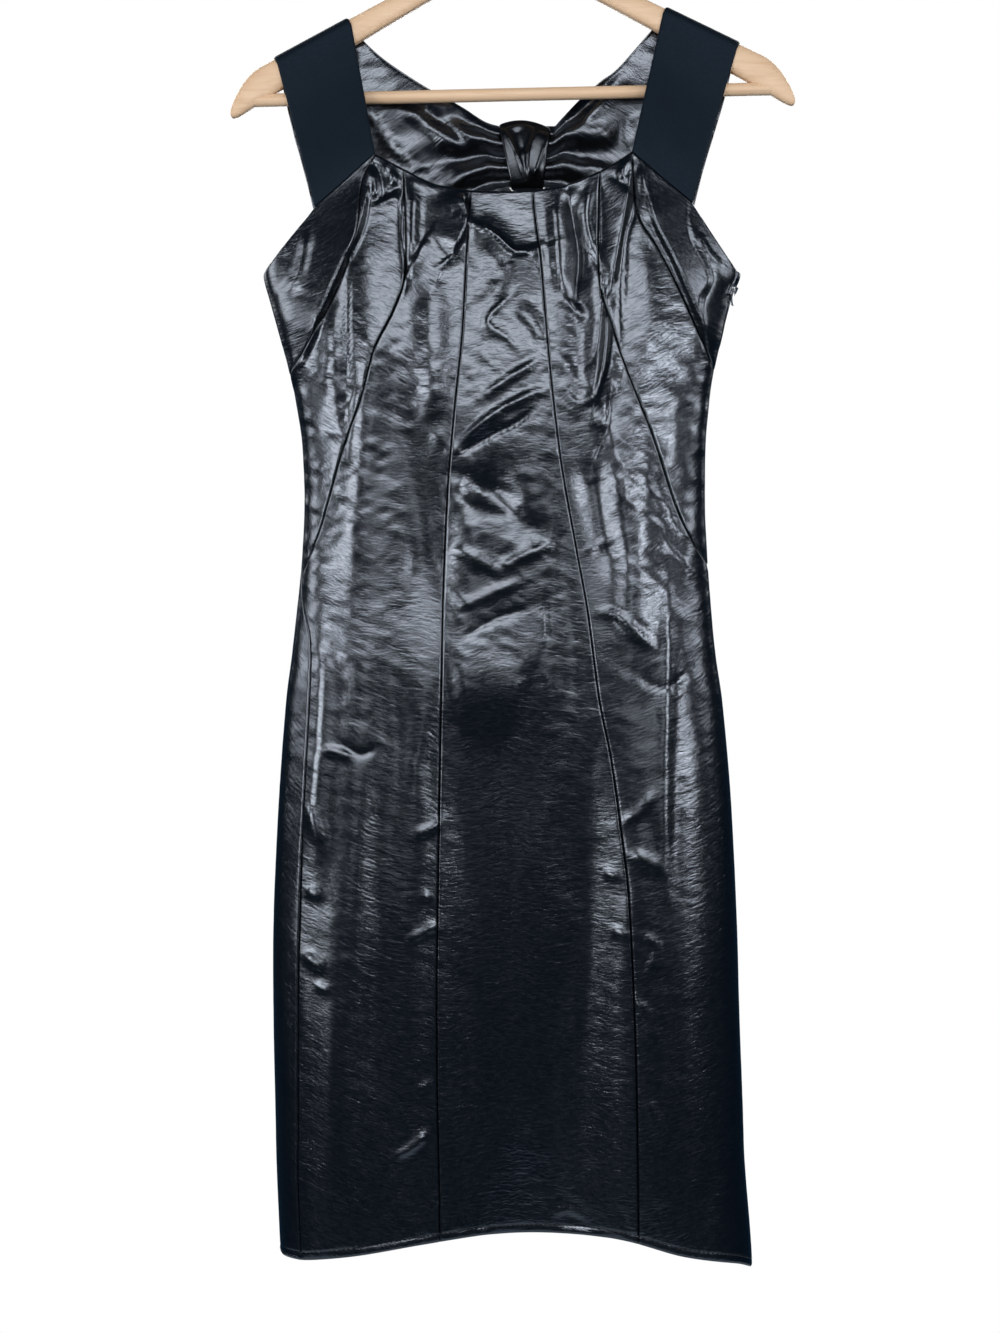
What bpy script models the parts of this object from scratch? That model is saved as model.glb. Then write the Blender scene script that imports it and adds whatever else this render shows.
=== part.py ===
"""Sleeveless sheath cocktail dress, hanging on a wooden hanger with a trouser bar.

Axes: +Z up, the dress's front faces -Y, the wearer's right side is at -X.
The origin is the hang point, at the inner top of the hanger's hook. The tables
and functions work in millimetres, and the meshes are made in metres.

The dress is one shell. A point of its middle surface is given by t and z:
t runs round the body, -1 to 1 across the front and 1 to 3 across the back, and
z is the height. Every piece of cloth is a patch of that shell between its seams.
"""
from math import asin, atan2, copysign, cos, exp, hypot, pi, radians, sin, sqrt, tan

import bmesh
import bpy
from mathutils import Matrix, Vector

MM = 0.001
SEAM_GAP = 0.3
WALL = 1.5

# ---- hanger -------------------------------------------------------------
HANGER_TILT = radians(1.3)
ARM_PEAK_Z = -61.1
ARM_UPPER_SLOPE = 0.511
ARM_SLOPE_ANGLE = atan2(ARM_UPPER_SLOPE, 1)
ARM_UPPER_ROUND = 12.0
ARM_LOWER_Z = -72.4
ARM_LOWER_SLOPE = 0.588
ARM_LOWER_ROUND = 25.0
ARM_THICK = 12.0
ARM_TIP_X = 220.0
ARM_TIP_START = 196.0
ARM_TIP_DROP = 9.0
BAR_Z = -186.9
BAR_RADIUS = 5.0
BAR_END_X = 207.0
BORE_PLAY = 0.3
ARM_SIDES = 12
ARM_STEPS = 12
ARM_STATION_X = 170.0
ARM_TIP_STATIONS = (0.6, 4.0, 10.0, 24.0)
ARM_TIP_THINNING = 0.35
ARM_FLAT_Z = 0.8
ARM_FLAT_Y = 0.6
ROD_SIDES = 16
SOCKET_SIDES = 12
HOOK_RADIUS = 19.0
HOOK_START = -62
HOOK_END = 206
HOOK_STEP = 16
HOOK_POINTS = 34
WIRE_RADIUS = 1.75
STEM_SUNK = 22.0
STEM_STRAIGHT = 10.0
STEM_RISE = 6.0
STEM_BEND = (0.4, 16.0)

# ---- straps over the arms -----------------------------------------------
STRAP_ROUND = ARM_THICK / 2 + 0.35 + WALL / 2
STRAP_REACH = 120.0

# ---- the body's level sections, top to bottom ----------------------------
# z | centre_x | half_width | front depth | back depth | recess of the front's middle
SECTIONS = (
    (-60, -4.0, 186.0, 14, 12, 0.00),
    (-200, -4.0, 186.0, 24, 20, 0.00),
    (-268, -4.0, 185.5, 31, 24, 0.00),
    (-328, -4.0, 184.9, 35, 27, 0.00),
    (-346, -5.3, 179.4, 36, 28, 0.00),
    (-374, -4.9, 171.8, 37, 29, 0.00),
    (-400, -4.4, 165.0, 37.5, 30, 0.00),
    (-426, -3.6, 160.2, 37.5, 30, 0.00),
    (-465, -2.4, 156.0, 37, 30, 0.02),
    (-504, -1.8, 155.2, 36.5, 31, 0.06),
    (-543, -1.8, 156.8, 37.5, 33, 0.14),
    (-582, -2.2, 159.9, 40.5, 37, 0.24),
    (-621, -2.6, 163.8, 44, 42, 0.32),
    (-660, -2.2, 168.9, 47, 46, 0.40),
    (-746, -1.6, 175.5, 53, 53, 0.52),
    (-862, -1.2, 179.8, 60, 58, 0.62),
    (-1003, 1.9, 180.6, 65, 61, 0.70),
    (-1110, 7.4, 182.0, 67, 62, 0.75),
)
SECTION_POWER = 0.6
RECESS_CENTRE = 0.02
RECESS_WIDTH = 0.33

# ---- hem height round the body: t | z ------------------------------------
HEM = (
    (-1.0, -1088.0), (-0.75, -1085.0), (-0.5, -1079.5), (-0.25, -1073.0),
    (0.0, -1070.0), (0.25, -1069.0), (0.5, -1080.0), (0.75, -1088.0),
    (1.0, -1097.0), (1.4, -1094.0), (2.0, -1086.0), (2.6, -1085.0), (3.0, -1088.0),
)

# height at which a seam's place round the body is read for the hem below it
HEM_GUIDE_Z = -1080.0

# ---- seams of the front: x | z -------------------------------------------
CENTRE_SEAM_R = (
    (-28.5, -268.4), (-31.4, -324.0), (-34.3, -378.0), (-39.6, -431.5),
    (-46.0, -506.0), (-49.0, -583.0), (-50.4, -659.0), (-52.7, -811.0),
    (-53.5, -887.0), (-51.3, -1100.0),
)
CENTRE_SEAM_L = (
    (19.8, -268.4), (25.7, -324.0), (31.6, -394.0), (40.1, -469.0),
    (53.2, -545.0), (61.3, -590.0), (70.3, -659.0), (79.1, -704.0),
    (86.4, -757.0), (92.4, -809.0), (96.0, -884.0), (98.2, -959.0),
    (99.7, -1100.0),
)
PRINCESS_SEAM_R = (
    (-79.7, -251.1), (-78.0, -300.0), (-78.5, -336.0), (-87.4, -363.0),
    (-100.3, -390.0), (-111.8, -431.0), (-123.7, -461.0), (-144.0, -528.0),
    (-154.1, -562.0),
)
PRINCESS_SEAM_L = (
    (71.1, -252.9), (69.6, -300.0), (70.5, -340.0), (77.9, -367.0),
    (87.8, -397.0), (100.8, -431.0), (112.6, -461.0), (128.9, -509.0),
    (142.0, -536.0), (150.5, -553.0),
)
YOKE_SEAM_R = (
    (-101.3, -239.1), (-111.2, -262.3), (-114.0, -300.0), (-127.6, -338.5),
    (-145.0, -374.0), (-165.5, -407.0),
)
YOKE_SEAM_L = (
    (95.7, -237.6), (97.2, -262.0), (101.0, -289.0), (116.7, -315.0),
    (136.0, -353.0), (157.0, -404.0),
)

# ---- side seams: z | t ----------------------------------------------------
SIDE_SEAM_R = (
    (-328.0, -1.0), (-407.0, -1.0), (-520.0, -0.99), (-562.0, -0.93),
    (-613.0, -0.73), (-659.0, -0.69), (-735.0, -0.68), (-811.0, -0.68),
    (-910.0, -0.69), (-1066.0, -0.71), (-1110.0, -0.71),
)
SIDE_SEAM_L = (
    (-326.0, 0.87), (-356.0, 0.88), (-404.0, 0.94), (-465.0, 1.0),
    (-553.0, 1.03), (-660.0, 1.12), (-811.0, 1.18), (-1110.0, 1.20),
)

# ---- edges of the neck and the straps: x | z ------------------------------
NECK_SIDE_R = ((-101.3, -239.1), (-90.0, -245.5), (-79.7, -251.1))
NECK_MID_R = ((-79.7, -251.1), (-65.0, -259.0), (-51.5, -264.4), (-28.5, -268.4))
NECK_CENTRE = ((-28.5, -268.4), (-5.0, -269.2), (19.8, -268.4))
NECK_MID_L = ((19.8, -268.4), (36.0, -266.0), (48.1, -262.9), (71.1, -252.9))
NECK_SIDE_L = ((71.1, -252.9), (83.0, -246.0), (95.7, -237.6))
STRAP_JOIN_R = ((-147.9, -280.4), (-124.0, -260.0), (-101.3, -239.1))
STRAP_JOIN_L = ((142.3, -276.6), (119.0, -258.0), (95.7, -237.6))
WING_EDGE_R = ((-147.9, -280.4), (-168.0, -304.0), (-188.8, -328.0))
WING_EDGE_L = ((142.3, -276.6), (160.0, -303.0), (177.0, -326.0))
# top of each strap edge, as |x| where it crosses the arm
STRAP_INNER_X = 121.0
STRAP_OUTER_X = 178.5

# ---- edges of the back: x | z ----------------------------------------------
BACK_NECK_R = (
    (-99.7, -154.2), (-68.4, -174.3), (-37.1, -190.5), (-18.0, -202.0),
)
BACK_NECK_L = (
    (88.8, -161.5), (73.3, -172.9), (57.6, -185.8), (43.0, -200.0),
)
BACK_ARMHOLE_R = ((-170.0, -205.0), (-158.0, -250.0), (-150.0, -284.0))
BACK_ARMHOLE_L = ((170.0, -190.0), (155.0, -240.0), (145.0, -281.0))
DRAPE_SEAM_R = (
    (-150.0, -284.0), (-120.0, -291.0), (-80.0, -286.0), (-40.0, -270.0),
    (-10.0, -257.0),
)
DRAPE_SEAM_L = (
    (145.0, -281.0), (120.0, -289.0), (92.0, -283.0), (66.0, -270.0),
    (42.0, -257.0),
)
BACK_WING_R = ((-150.0, -284.0), (-168.0, -303.0), (-181.0, -318.0))
BACK_WING_L = ((145.0, -281.0), (164.0, -302.0), (176.0, -316.0))
BACK_CENTRE_SEAM = (
    (16.0, -257.8), (12.0, -330.0), (4.0, -430.0), (-2.0, -560.0),
    (-2.0, -800.0), (4.0, -1110.0),
)

# ---- knot at the back neck --------------------------------------------------
KNOT_X = 16.0
KNOT_Z = -230.0
KNOT_HALF_HEIGHT = 26.0
KNOT_HALF_DEPTH = 7.0
KNOT_TOP_WIDTH = 42.0
KNOT_FOOT_WIDTH = 20.0
KNOT_STEPS = 24
KNOT_COLUMNS = 6
KNOT_PLAY = 0.4
# half height of the drapes' ends inside the band
KNOT_REACH = KNOT_HALF_HEIGHT - WALL - KNOT_PLAY / 2
KNOT_SHOULDER = 4.0
KNOT_NOTCH = 2.5
GATHER_WAVES = 2.5
GATHER_START = 0.25

# ---- folds: name | side | x0 | z0 | x1 | z1 | half width | height out --------
FOLDS = (
    ("strap corner fan", "front", -106, -244, -113, -300, 8, 2.6),
    ("strap corner fan", "front", -91, -248, -90, -318, 8, 2.6),
    ("neck tuck", "front", -76, -250, -77, -332, 8, -2.8),
    ("neck tuck", "front", -61, -258, -66, -322, 8, 2.8),
    ("neck tuck", "front", -44, -264, -58, -336, 8, -2.4),
    ("armhole crease", "front", -119, -300, -136, -480, 8, -3.0),
    ("bust ridge", "front", -98, -330, -104, -470, 14, 3.0),
    ("neck tuck", "front", 38, -262, 52, -340, 8, -2.8),
    ("neck tuck", "front", 54, -260, 60, -352, 8, 3.0),
    ("neck tuck", "front", 70, -252, 68, -400, 8, -2.8),
    ("strap corner fan", "front", 84, -248, 84, -330, 8, 2.8),
    ("strap corner fan", "front", 96, -244, 98, -380, 8, -2.6),
    ("wing crease", "front", 112, -262, 150, -330, 8, 2.4),
    ("centre crease", "front", -28, -300, 10, -330, 9, -2.0),
    ("centre crease", "front", -14, -368, 28, -420, 9, -2.0),
    ("waist crease", "front", -96, -470, -60, -560, 12, -2.4),
    ("skirt band", "front", -92, -640, -88, -1040, 18, -4.0),
    ("skirt ridge", "front", -134, -600, -136, -1080, 16, 4.0),
    ("skirt ridge", "front", 124, -560, 130, -1080, 16, 4.0),
    ("skirt band", "front", 70, -760, 62, -1060, 18, -3.0),
    ("back waist fold", "back", -60, -470, -84, -640, 14, -3.0),
    ("back waist fold", "back", 66, -470, 88, -650, 14, -3.0),
    ("back skirt fold", "back", -70, -700, -64, -1080, 24, -6.0),
    ("back skirt fold", "back", 74, -690, 78, -1090, 24, -6.0),
    ("back blade ridge", "back", -70, -300, -52, -420, 14, 2.4),
    ("back blade ridge", "back", 74, -300, 60, -420, 14, 2.4),
)

# ---- grid counts -------------------------------------------------------------
YOKE_ROWS = 8
SIDE_ROWS = 7
LOW_ROWS = 20
YOKE_COLUMNS = 6
SIDE_COLUMNS = 5
MID_COLUMNS = 8
CENTRE_COLUMNS = 9
STRAP_COLUMNS = 5
STRAP_ROWS = 9
DRAPE_COLUMNS = 10
ARMHOLE_ROWS = 6
SEAM_ROWS = 8
KNOT_ROWS = 2
ARC_ROWS = 4
TIP_SHARE = 0.88
SHARP_CORNER_CUT = 1.2

# ---- zip slider and its pull tab -----------------------------------------------
ZIP_Z = -341.0
ZIP_REACH = 5.0
SEAT_RISE = WALL / 2 + SEAM_GAP + 0.4
JOIN_DEEP = 0.4
SLIDER_WIDTH = 5.0
SLIDER_LENGTH = 8.0
SLIDER_DEEP = 1.8
BAIL_WIDTH = 1.2
BAIL_LENGTH = 5.0
BAIL_DEEP = 3.4
TUNNEL_LENGTH = 2.6
TUNNEL_DEEP = 2.2
PULL_WIDTH = 4.4
PULL_LENGTH = 13.0
PULL_THICK = 0.9
PULL_HOLE_WIDTH = 2.2
PULL_HOLE_LENGTH = 4.6
PULL_CORNER = 1.4
PULL_TOP_CORNER = 0.5
PULL_HOLE_CORNER = 0.35
PULL_CORNER_STEPS = 6
PULL_AXIS_OUT = SLIDER_DEEP + 1.05

# ---- materials: name | colour | roughness | metallic ------------------------------
MATERIALS = {
    "satin": ((0.020, 0.023, 0.031), 0.35, 0.0),
    "satin_matte": ((0.012, 0.013, 0.016), 0.70, 0.0),
    "wood": ((0.66, 0.45, 0.27), 0.50, 0.0),
    "steel": ((0.62, 0.63, 0.65), 0.28, 1.0),
}


# ---------------------------------------------------------------- number helpers
def spline(rows, at, column):
    """Smooth value of a table's column where its first column has the value given."""
    keys = [row[0] for row in rows]
    sign = 1 if keys[-1] > keys[0] else -1
    last = len(rows) - 1
    i = 0
    while i < last - 1 and sign * at > sign * keys[i + 1]:
        i += 1
    share = min(1.0, max(0.0, (at - keys[i]) / (keys[i + 1] - keys[i])))

    def slope(k):
        if k in (0, last):
            return 0.0
        before = (rows[k][column] - rows[k - 1][column]) / (keys[k] - keys[k - 1])
        after = (rows[k + 1][column] - rows[k][column]) / (keys[k + 1] - keys[k])
        return 0.0 if before * after <= 0 else 2 * before * after / (before + after)

    span = keys[i + 1] - keys[i]
    a, b = rows[i][column], rows[i + 1][column]
    s2, s3 = share * share, share ** 3
    return (a * (2 * s3 - 3 * s2 + 1) + b * (3 * s2 - 2 * s3)
            + span * (slope(i) * (s3 - 2 * s2 + share) + slope(i + 1) * (s3 - s2)))


def smoothstep(value):
    share = min(1.0, max(0.0, value))
    return share * share * (3 - 2 * share)


def mix(a, b, share):
    return tuple(p + (q - p) * share for p, q in zip(a, b))


def resample(points, count):
    """count + 1 points spaced evenly along a smooth curve through the points."""
    fine = []
    last = len(points) - 1
    for i in range(last):
        p0, p1 = points[max(0, i - 1)], points[i]
        p2, p3 = points[i + 1], points[min(last, i + 2)]
        for k in range(12):
            s = k / 12
            fine.append(tuple(
                0.5 * (2 * b + (c - a) * s + (2 * a - 5 * b + 4 * c - d) * s * s
                       + (3 * b - a - 3 * c + d) * s ** 3)
                for a, b, c, d in zip(p0, p1, p2, p3)))
    fine.append(points[-1])
    walked = [0.0]
    for a, b in zip(fine, fine[1:]):
        walked.append(walked[-1] + hypot(*(q - p for p, q in zip(a, b))))
    result = []
    k = 0
    for i in range(count + 1):
        goal = walked[-1] * i / count
        while k < len(fine) - 2 and walked[k + 1] < goal:
            k += 1
        step = walked[k + 1] - walked[k]
        result.append(mix(fine[k], fine[k + 1], (goal - walked[k]) / step if step else 0.0))
    return result


# ---------------------------------------------------------------- the dress's shell
def arm_line(x):
    """Height of the arc centre of a strap over the tilted arm, and the arm's up direction."""
    peak_x = -ARM_PEAK_Z * sin(HANGER_TILT)
    peak_z = ARM_PEAK_Z * cos(HANGER_TILT)
    side = 1 if x > peak_x else -1
    lean = ARM_SLOPE_ANGLE - side * HANGER_TILT
    up = Vector((side * sin(lean), 0, cos(lean)))
    drop = ARM_THICK / 2 / cos(lean)
    return peak_z - tan(lean) * abs(x - peak_x) - drop, up


def fold_height(side, x, z):
    """Sum of the folds of one side at a place, positive outward."""
    total = 0.0
    for _, where, x0, z0, x1, z1, half_width, height in FOLDS:
        if where != side:
            continue
        length = hypot(x1 - x0, z1 - z0)
        along = ((x - x0) * (x1 - x0) + (z - z0) * (z1 - z0)) / length ** 2
        across = ((x - x0) * (z1 - z0) - (z - z0) * (x1 - x0)) / length
        if -0.3 < along < 1.3 and abs(across) < 3 * half_width:
            ends = smoothstep((along + 0.15) / 0.3) * smoothstep((1.15 - along) / 0.3)
            total += height * ends * exp(-(across / half_width) ** 2)
    return total


def skin(t, z):
    """Point of the shell's middle surface."""
    centre = spline(SECTIONS, z, 1)
    half = spline(SECTIONS, z, 2)
    turn = pi * t / 2
    x = centre + half * sin(turn)
    bulge = abs(cos(turn)) ** SECTION_POWER
    if cos(turn) >= 0:
        recess = spline(SECTIONS, z, 5) * exp(-((t - RECESS_CENTRE) / RECESS_WIDTH) ** 2)
        depth = spline(SECTIONS, z, 3) * bulge * (1 - recess)
        out, side = -1, "front"
    else:
        depth = spline(SECTIONS, z, 4) * bulge
        out, side = 1, "back"
    depth += fold_height(side, x, z) * min(1.0, bulge * 1.5)
    close = smoothstep((arm_line(x)[0] - z) / STRAP_REACH)
    depth = STRAP_ROUND + (depth - STRAP_ROUND) * close
    return Vector((x, out * depth, z))


def skin_normal(t, z):
    """Outward normal of the shell."""
    step = 0.01
    round_body = skin(t + step, z) - skin(t - step, z)
    down = skin(t, z - 1.0) - skin(t, z + 1.0)
    return down.cross(round_body).normalized()


def front(x, z):
    """t and z of a place of the front given by x."""
    share = (x - spline(SECTIONS, z, 1)) / spline(SECTIONS, z, 2)
    return asin(max(-1.0, min(1.0, share))) * 2 / pi, z


def back(x, z):
    """t and z of a place of the back given by x."""
    return 2 - front(x, z)[0], z


def hem(t):
    return spline(HEM, t if t >= -1 else t + 4, 1)


# ---------------------------------------------------------------- patches
def coons(left, right, top, bottom):
    """Grid of rows between four lists of boundary points."""
    rows, columns = len(left) - 1, len(top) - 1
    grid = []
    for i in range(rows + 1):
        v = i / rows
        line = []
        for j in range(columns + 1):
            u = j / columns
            sides = mix(left[i], right[i], u)
            ends = mix(top[j], bottom[j], v)
            corners = mix(mix(top[0], top[-1], u), mix(bottom[0], bottom[-1], u), v)
            line.append(tuple(a + b - c for a, b, c in zip(sides, ends, corners)))
        grid.append(line)
    return grid


def shell_grid(places):
    """Points and normals of the shell for a grid of t and z."""
    points = [[skin(*place) for place in line] for line in places]
    normals = [[skin_normal(*place) for place in line] for line in places]
    return points, normals


def draw_in(points, edges):
    """Move the named edges of a grid half a seam gap inward, within the surface."""
    rows, columns = len(points) - 1, len(points[0]) - 1
    moved = [[p.copy() for p in line] for line in points]

    def inward(i, j, di, dj):
        if di:
            before, after = points[i][max(0, j - 1)], points[i][min(columns, j + 1)]
        else:
            before, after = points[max(0, i - 1)][j], points[min(rows, i + 1)][j]
        along = (after - before).normalized()
        inside = points[i + di][j + dj] - points[i][j]
        square = inside - along * inside.dot(along)
        moved[i][j] += square.normalized() * SEAM_GAP / 2

    for j in range(columns + 1):
        if "top" in edges:
            inward(0, j, 1, 0)
        if "bottom" in edges:
            inward(rows, j, -1, 0)
    for i in range(rows + 1):
        if "left" in edges:
            inward(i, 0, 0, 1)
        if "right" in edges:
            inward(i, columns, 0, -1)
    return moved


# ---------------------------------------------------------------- meshes
def material(name):
    found = bpy.data.materials.get(name)
    if found:
        return found
    colour, roughness, metallic = MATERIALS[name]
    made = bpy.data.materials.new(name)
    made.use_nodes = True
    shader = made.node_tree.nodes["Principled BSDF"]
    shader.inputs["Base Color"].default_value = (*colour, 1)
    shader.inputs["Roughness"].default_value = roughness
    shader.inputs["Metallic"].default_value = metallic
    return made


def add_object(name, mesh_data, material_name):
    """Object of a filled bmesh, smooth where it is round."""
    bmesh.ops.recalc_face_normals(mesh_data, faces=mesh_data.faces)
    mesh = bpy.data.meshes.new(name)
    mesh_data.to_mesh(mesh)
    mesh_data.free()
    mesh.shade_smooth()
    mesh.set_sharp_from_angle(angle=radians(40))
    mesh.materials.append(material(material_name))
    thing = bpy.data.objects.new(name, mesh)
    bpy.context.scene.collection.objects.link(thing)
    return thing


def wall_piece(name, points, normals, material_name):
    """Closed wall of cloth on both sides of a grid of middle points."""
    rows, columns = len(points) - 1, len(points[0]) - 1
    work = bmesh.new()
    sheets = []
    for side in (0.5, -0.5):
        sheets.append([[work.verts.new((p + n * WALL * side) * MM)
                        for p, n in zip(p_line, n_line)]
                       for p_line, n_line in zip(points, normals)])
    outer, inner = sheets

    def face(*corners):
        a, b, c, d = corners
        work.faces.new((a, b, c))
        work.faces.new((a, c, d))

    for i in range(rows):
        for j in range(columns):
            face(outer[i][j], outer[i + 1][j], outer[i + 1][j + 1], outer[i][j + 1])
            face(inner[i][j], inner[i][j + 1], inner[i + 1][j + 1], inner[i + 1][j])
    for j in range(columns):
        face(outer[0][j], outer[0][j + 1], inner[0][j + 1], inner[0][j])
        face(outer[rows][j], inner[rows][j], inner[rows][j + 1], outer[rows][j + 1])
    for i in range(rows):
        face(outer[i + 1][0], outer[i][0], inner[i][0], inner[i + 1][0])
        face(outer[i + 1][columns], inner[i + 1][columns],
             inner[i][columns], outer[i][columns])
    return add_object(name, work, material_name)


# ---------------------------------------------------------------- seam lines in t and z
def fall(table, z_top, z_end, rows, place):
    """Points down a seam given as x and z, at even heights."""
    by_height = tuple((z, x) for x, z in table)
    heights = [z_top + (z_end - z_top) * i / rows for i in range(rows + 1)]
    return [place(spline(by_height, z, 1), z) for z in heights]


def side_line(table, z_top, z_end, rows, turn=0):
    """Points down a side seam, at even heights."""
    heights = [z_top + (z_end - z_top) * i / rows for i in range(rows + 1)]
    return [(spline(table, z, 1) + turn, z) for z in heights]


def hem_under(table, place):
    """Height of the hem below a seam."""
    x = spline(tuple((z, x) for x, z in table), HEM_GUIDE_Z, 1)
    return hem(place(x, HEM_GUIDE_Z)[0])


def edge(table, count, place):
    return [place(*p) for p in resample(table, count)]


def hem_line(t_start, t_end, count):
    line = []
    for i in range(count + 1):
        t = t_start + (t_end - t_start) * i / count
        line.append((t, hem(t)))
    return line


class Half:
    """The lines of one half of the dress, from the wearer's right or left."""

    def __init__(self, suffix, sign):
        self.suffix = suffix
        self.sign = sign
        right = sign < 0
        self.centre = CENTRE_SEAM_R if right else CENTRE_SEAM_L
        self.princess = PRINCESS_SEAM_R if right else PRINCESS_SEAM_L
        self.yoke = YOKE_SEAM_R if right else YOKE_SEAM_L
        self.side = SIDE_SEAM_R if right else SIDE_SEAM_L
        self.neck_side = NECK_SIDE_R if right else NECK_SIDE_L
        self.neck_mid = NECK_MID_R if right else NECK_MID_L
        self.join = STRAP_JOIN_R if right else STRAP_JOIN_L
        self.wing = WING_EDGE_R if right else WING_EDGE_L
        self.back_neck = BACK_NECK_R if right else BACK_NECK_L
        self.back_armhole = BACK_ARMHOLE_R if right else BACK_ARMHOLE_L
        self.drape_seam = DRAPE_SEAM_R if right else DRAPE_SEAM_L
        self.back_wing = BACK_WING_R if right else BACK_WING_L
        self.tip_z = self.side[0][0]
        self.yoke_end_z = self.yoke[-1][1]
        self.princess_end_z = self.princess[-1][1]
        self.side_hem_z = hem(self.side[-1][1])
        self.back_turn = 4 if right else 0
        self.around = 1 if right else -1

    # shared seam lines, each the same list for both pieces along it
    def yoke_line(self):
        x, z = self.yoke[-1]
        table = self.yoke[:-1] + ((self.side_x(z), z),)
        return edge(table, YOKE_ROWS, front)

    def side_x(self, z):
        return skin(spline(self.side, z, 1), z).x

    def princess_line(self):
        z = self.princess_end_z
        table = self.princess[:-1] + ((self.side_x(z), z),)
        return edge(table, YOKE_ROWS + SIDE_ROWS, front)

    def side_top(self):
        return side_line(self.side, self.tip_z, self.yoke_end_z, YOKE_COLUMNS)

    def side_mid(self):
        return side_line(self.side, self.yoke_end_z, self.princess_end_z, SIDE_ROWS)

    def side_low(self):
        return side_line(self.side, self.princess_end_z, self.side_hem_z, LOW_ROWS)

    def knot_corner(self):
        """Lowest place of the drape beside the knot, as x and z."""
        return KNOT_X + self.sign * (KNOT_FOOT_WIDTH / 2 + KNOT_SHOULDER), KNOT_Z - KNOT_REACH

    def centre_line(self):
        rows = YOKE_ROWS + SIDE_ROWS + LOW_ROWS
        return fall(self.centre, self.centre[0][1], hem_under(self.centre, front),
                    rows, front)


# ---------------------------------------------------------------- pieces of the front
def ordered(grid_sides, right_hand):
    """Left, right, top, bottom with t growing along each row."""
    near, far, top, bottom = grid_sides
    if right_hand:
        return near, far, top, bottom
    return far, near, top[::-1], bottom[::-1]


def front_center(right, left):
    near, far = right.centre_line(), left.centre_line()
    top = edge(NECK_CENTRE, CENTRE_COLUMNS, front)
    bottom = hem_line(near[-1][0], far[-1][0], CENTRE_COLUMNS)
    points, normals = shell_grid(coons(near, far, top, bottom))
    wall_piece("front_center", draw_in(points, ("left", "right")), normals, "satin")


def front_mid(half):
    outer = half.princess_line() + half.side_low()[1:]
    centre = half.centre_line()
    top = edge(half.neck_mid, MID_COLUMNS, front)
    bottom = hem_line(outer[-1][0], centre[-1][0], MID_COLUMNS)
    if half.sign > 0:
        top = edge(half.neck_mid[::-1], MID_COLUMNS, front)
    sides = ordered((outer, centre, top, bottom), half.sign < 0)
    points, normals = shell_grid(coons(*sides))
    wall_piece("front_mid_" + half.suffix, draw_in(points, ("left", "right")),
               normals, "satin")


def front_side(half):
    outer = half.yoke_line() + half.side_mid()[1:]
    inner = half.princess_line()
    outer = outer[:-1] + [mix(outer[-2], outer[-1], TIP_SHARE)]
    table = half.neck_side if half.sign < 0 else half.neck_side[::-1]
    top = edge(table, SIDE_COLUMNS, front)
    bottom = [mix(outer[-1], inner[-1], j / SIDE_COLUMNS) for j in range(SIDE_COLUMNS + 1)]
    sides = ordered((outer, inner, top, bottom), half.sign < 0)
    points, normals = shell_grid(coons(*sides))
    points = draw_in(points, ("left", "right"))
    tip, inside = (0, 1) if half.sign < 0 else (-1, -2)
    towards = points[-2][inside] - points[-1][tip]
    points[-1][tip] += towards.normalized() * SHARP_CORNER_CUT
    wall_piece("front_side_" + half.suffix, points, normals, "satin")


def front_yoke(half):
    tip = (half.side_x(half.tip_z), half.tip_z)
    outer = edge(half.wing[:-1] + (tip,), YOKE_ROWS, front)
    inner = half.yoke_line()
    top = edge(half.join, YOKE_COLUMNS, front)
    bottom = half.side_top()
    sides = ordered((outer, inner, top, bottom), half.sign < 0)
    seams = ("top", "bottom", "right" if half.sign < 0 else "left")
    points, normals = shell_grid(coons(*sides))
    points = draw_in(points, seams)
    tip, inside = (-1, -2) if half.sign < 0 else (0, 1)
    towards = points[-2][inside] - points[-1][tip]
    points[-1][tip] += towards.normalized() * SHARP_CORNER_CUT
    wall_piece("front_yoke_" + half.suffix, points, normals, "satin")


# ---------------------------------------------------------------- cloth over the arms
def arm_edge(half, count):
    """Places on the arc centre line above the arm, from the outer edge to the inner."""
    places = []
    for i in range(count + 1):
        x = half.sign * (STRAP_OUTER_X + (STRAP_INNER_X - STRAP_OUTER_X) * i / count)
        places.append((x, arm_line(x)[0]))
    return places


def arc_rows(places, facing, share_start):
    """Points and normals of rows that roll the cloth over the arm, top row first."""
    points, normals = [], []
    for i in range(ARC_ROWS):
        angle = pi / 2 * (1 - share_start) * (1 - i / ARC_ROWS)
        line, outward = [], []
        for x, z in places:
            up = arm_line(x)[1]
            normal = up * sin(angle) + Vector((0, facing * cos(angle), 0))
            line.append(Vector((x, 0, z)) + normal * STRAP_ROUND)
            outward.append(normal)
        points.append(line)
        normals.append(outward)
    return points, normals


def strap(half):
    top = arm_edge(half, STRAP_COLUMNS)
    if half.sign > 0:
        top = top[::-1]
        bottom = resample(half.join[::-1], STRAP_COLUMNS)
    else:
        bottom = resample(half.join, STRAP_COLUMNS)
    left = resample((top[0], bottom[0]), STRAP_ROWS)
    right = resample((top[-1], bottom[-1]), STRAP_ROWS)
    flat = coons(left, right, top, bottom)
    places = [[front(x, z) for x, z in line] for line in flat]
    points, normals = shell_grid(places)
    roll_points, roll_normals = arc_rows(top, -1, 0.0)
    points, normals = roll_points + points, roll_normals + normals
    wall_piece("strap_" + half.suffix, draw_in(points, ("top", "bottom")),
               normals, "satin_matte")


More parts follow.
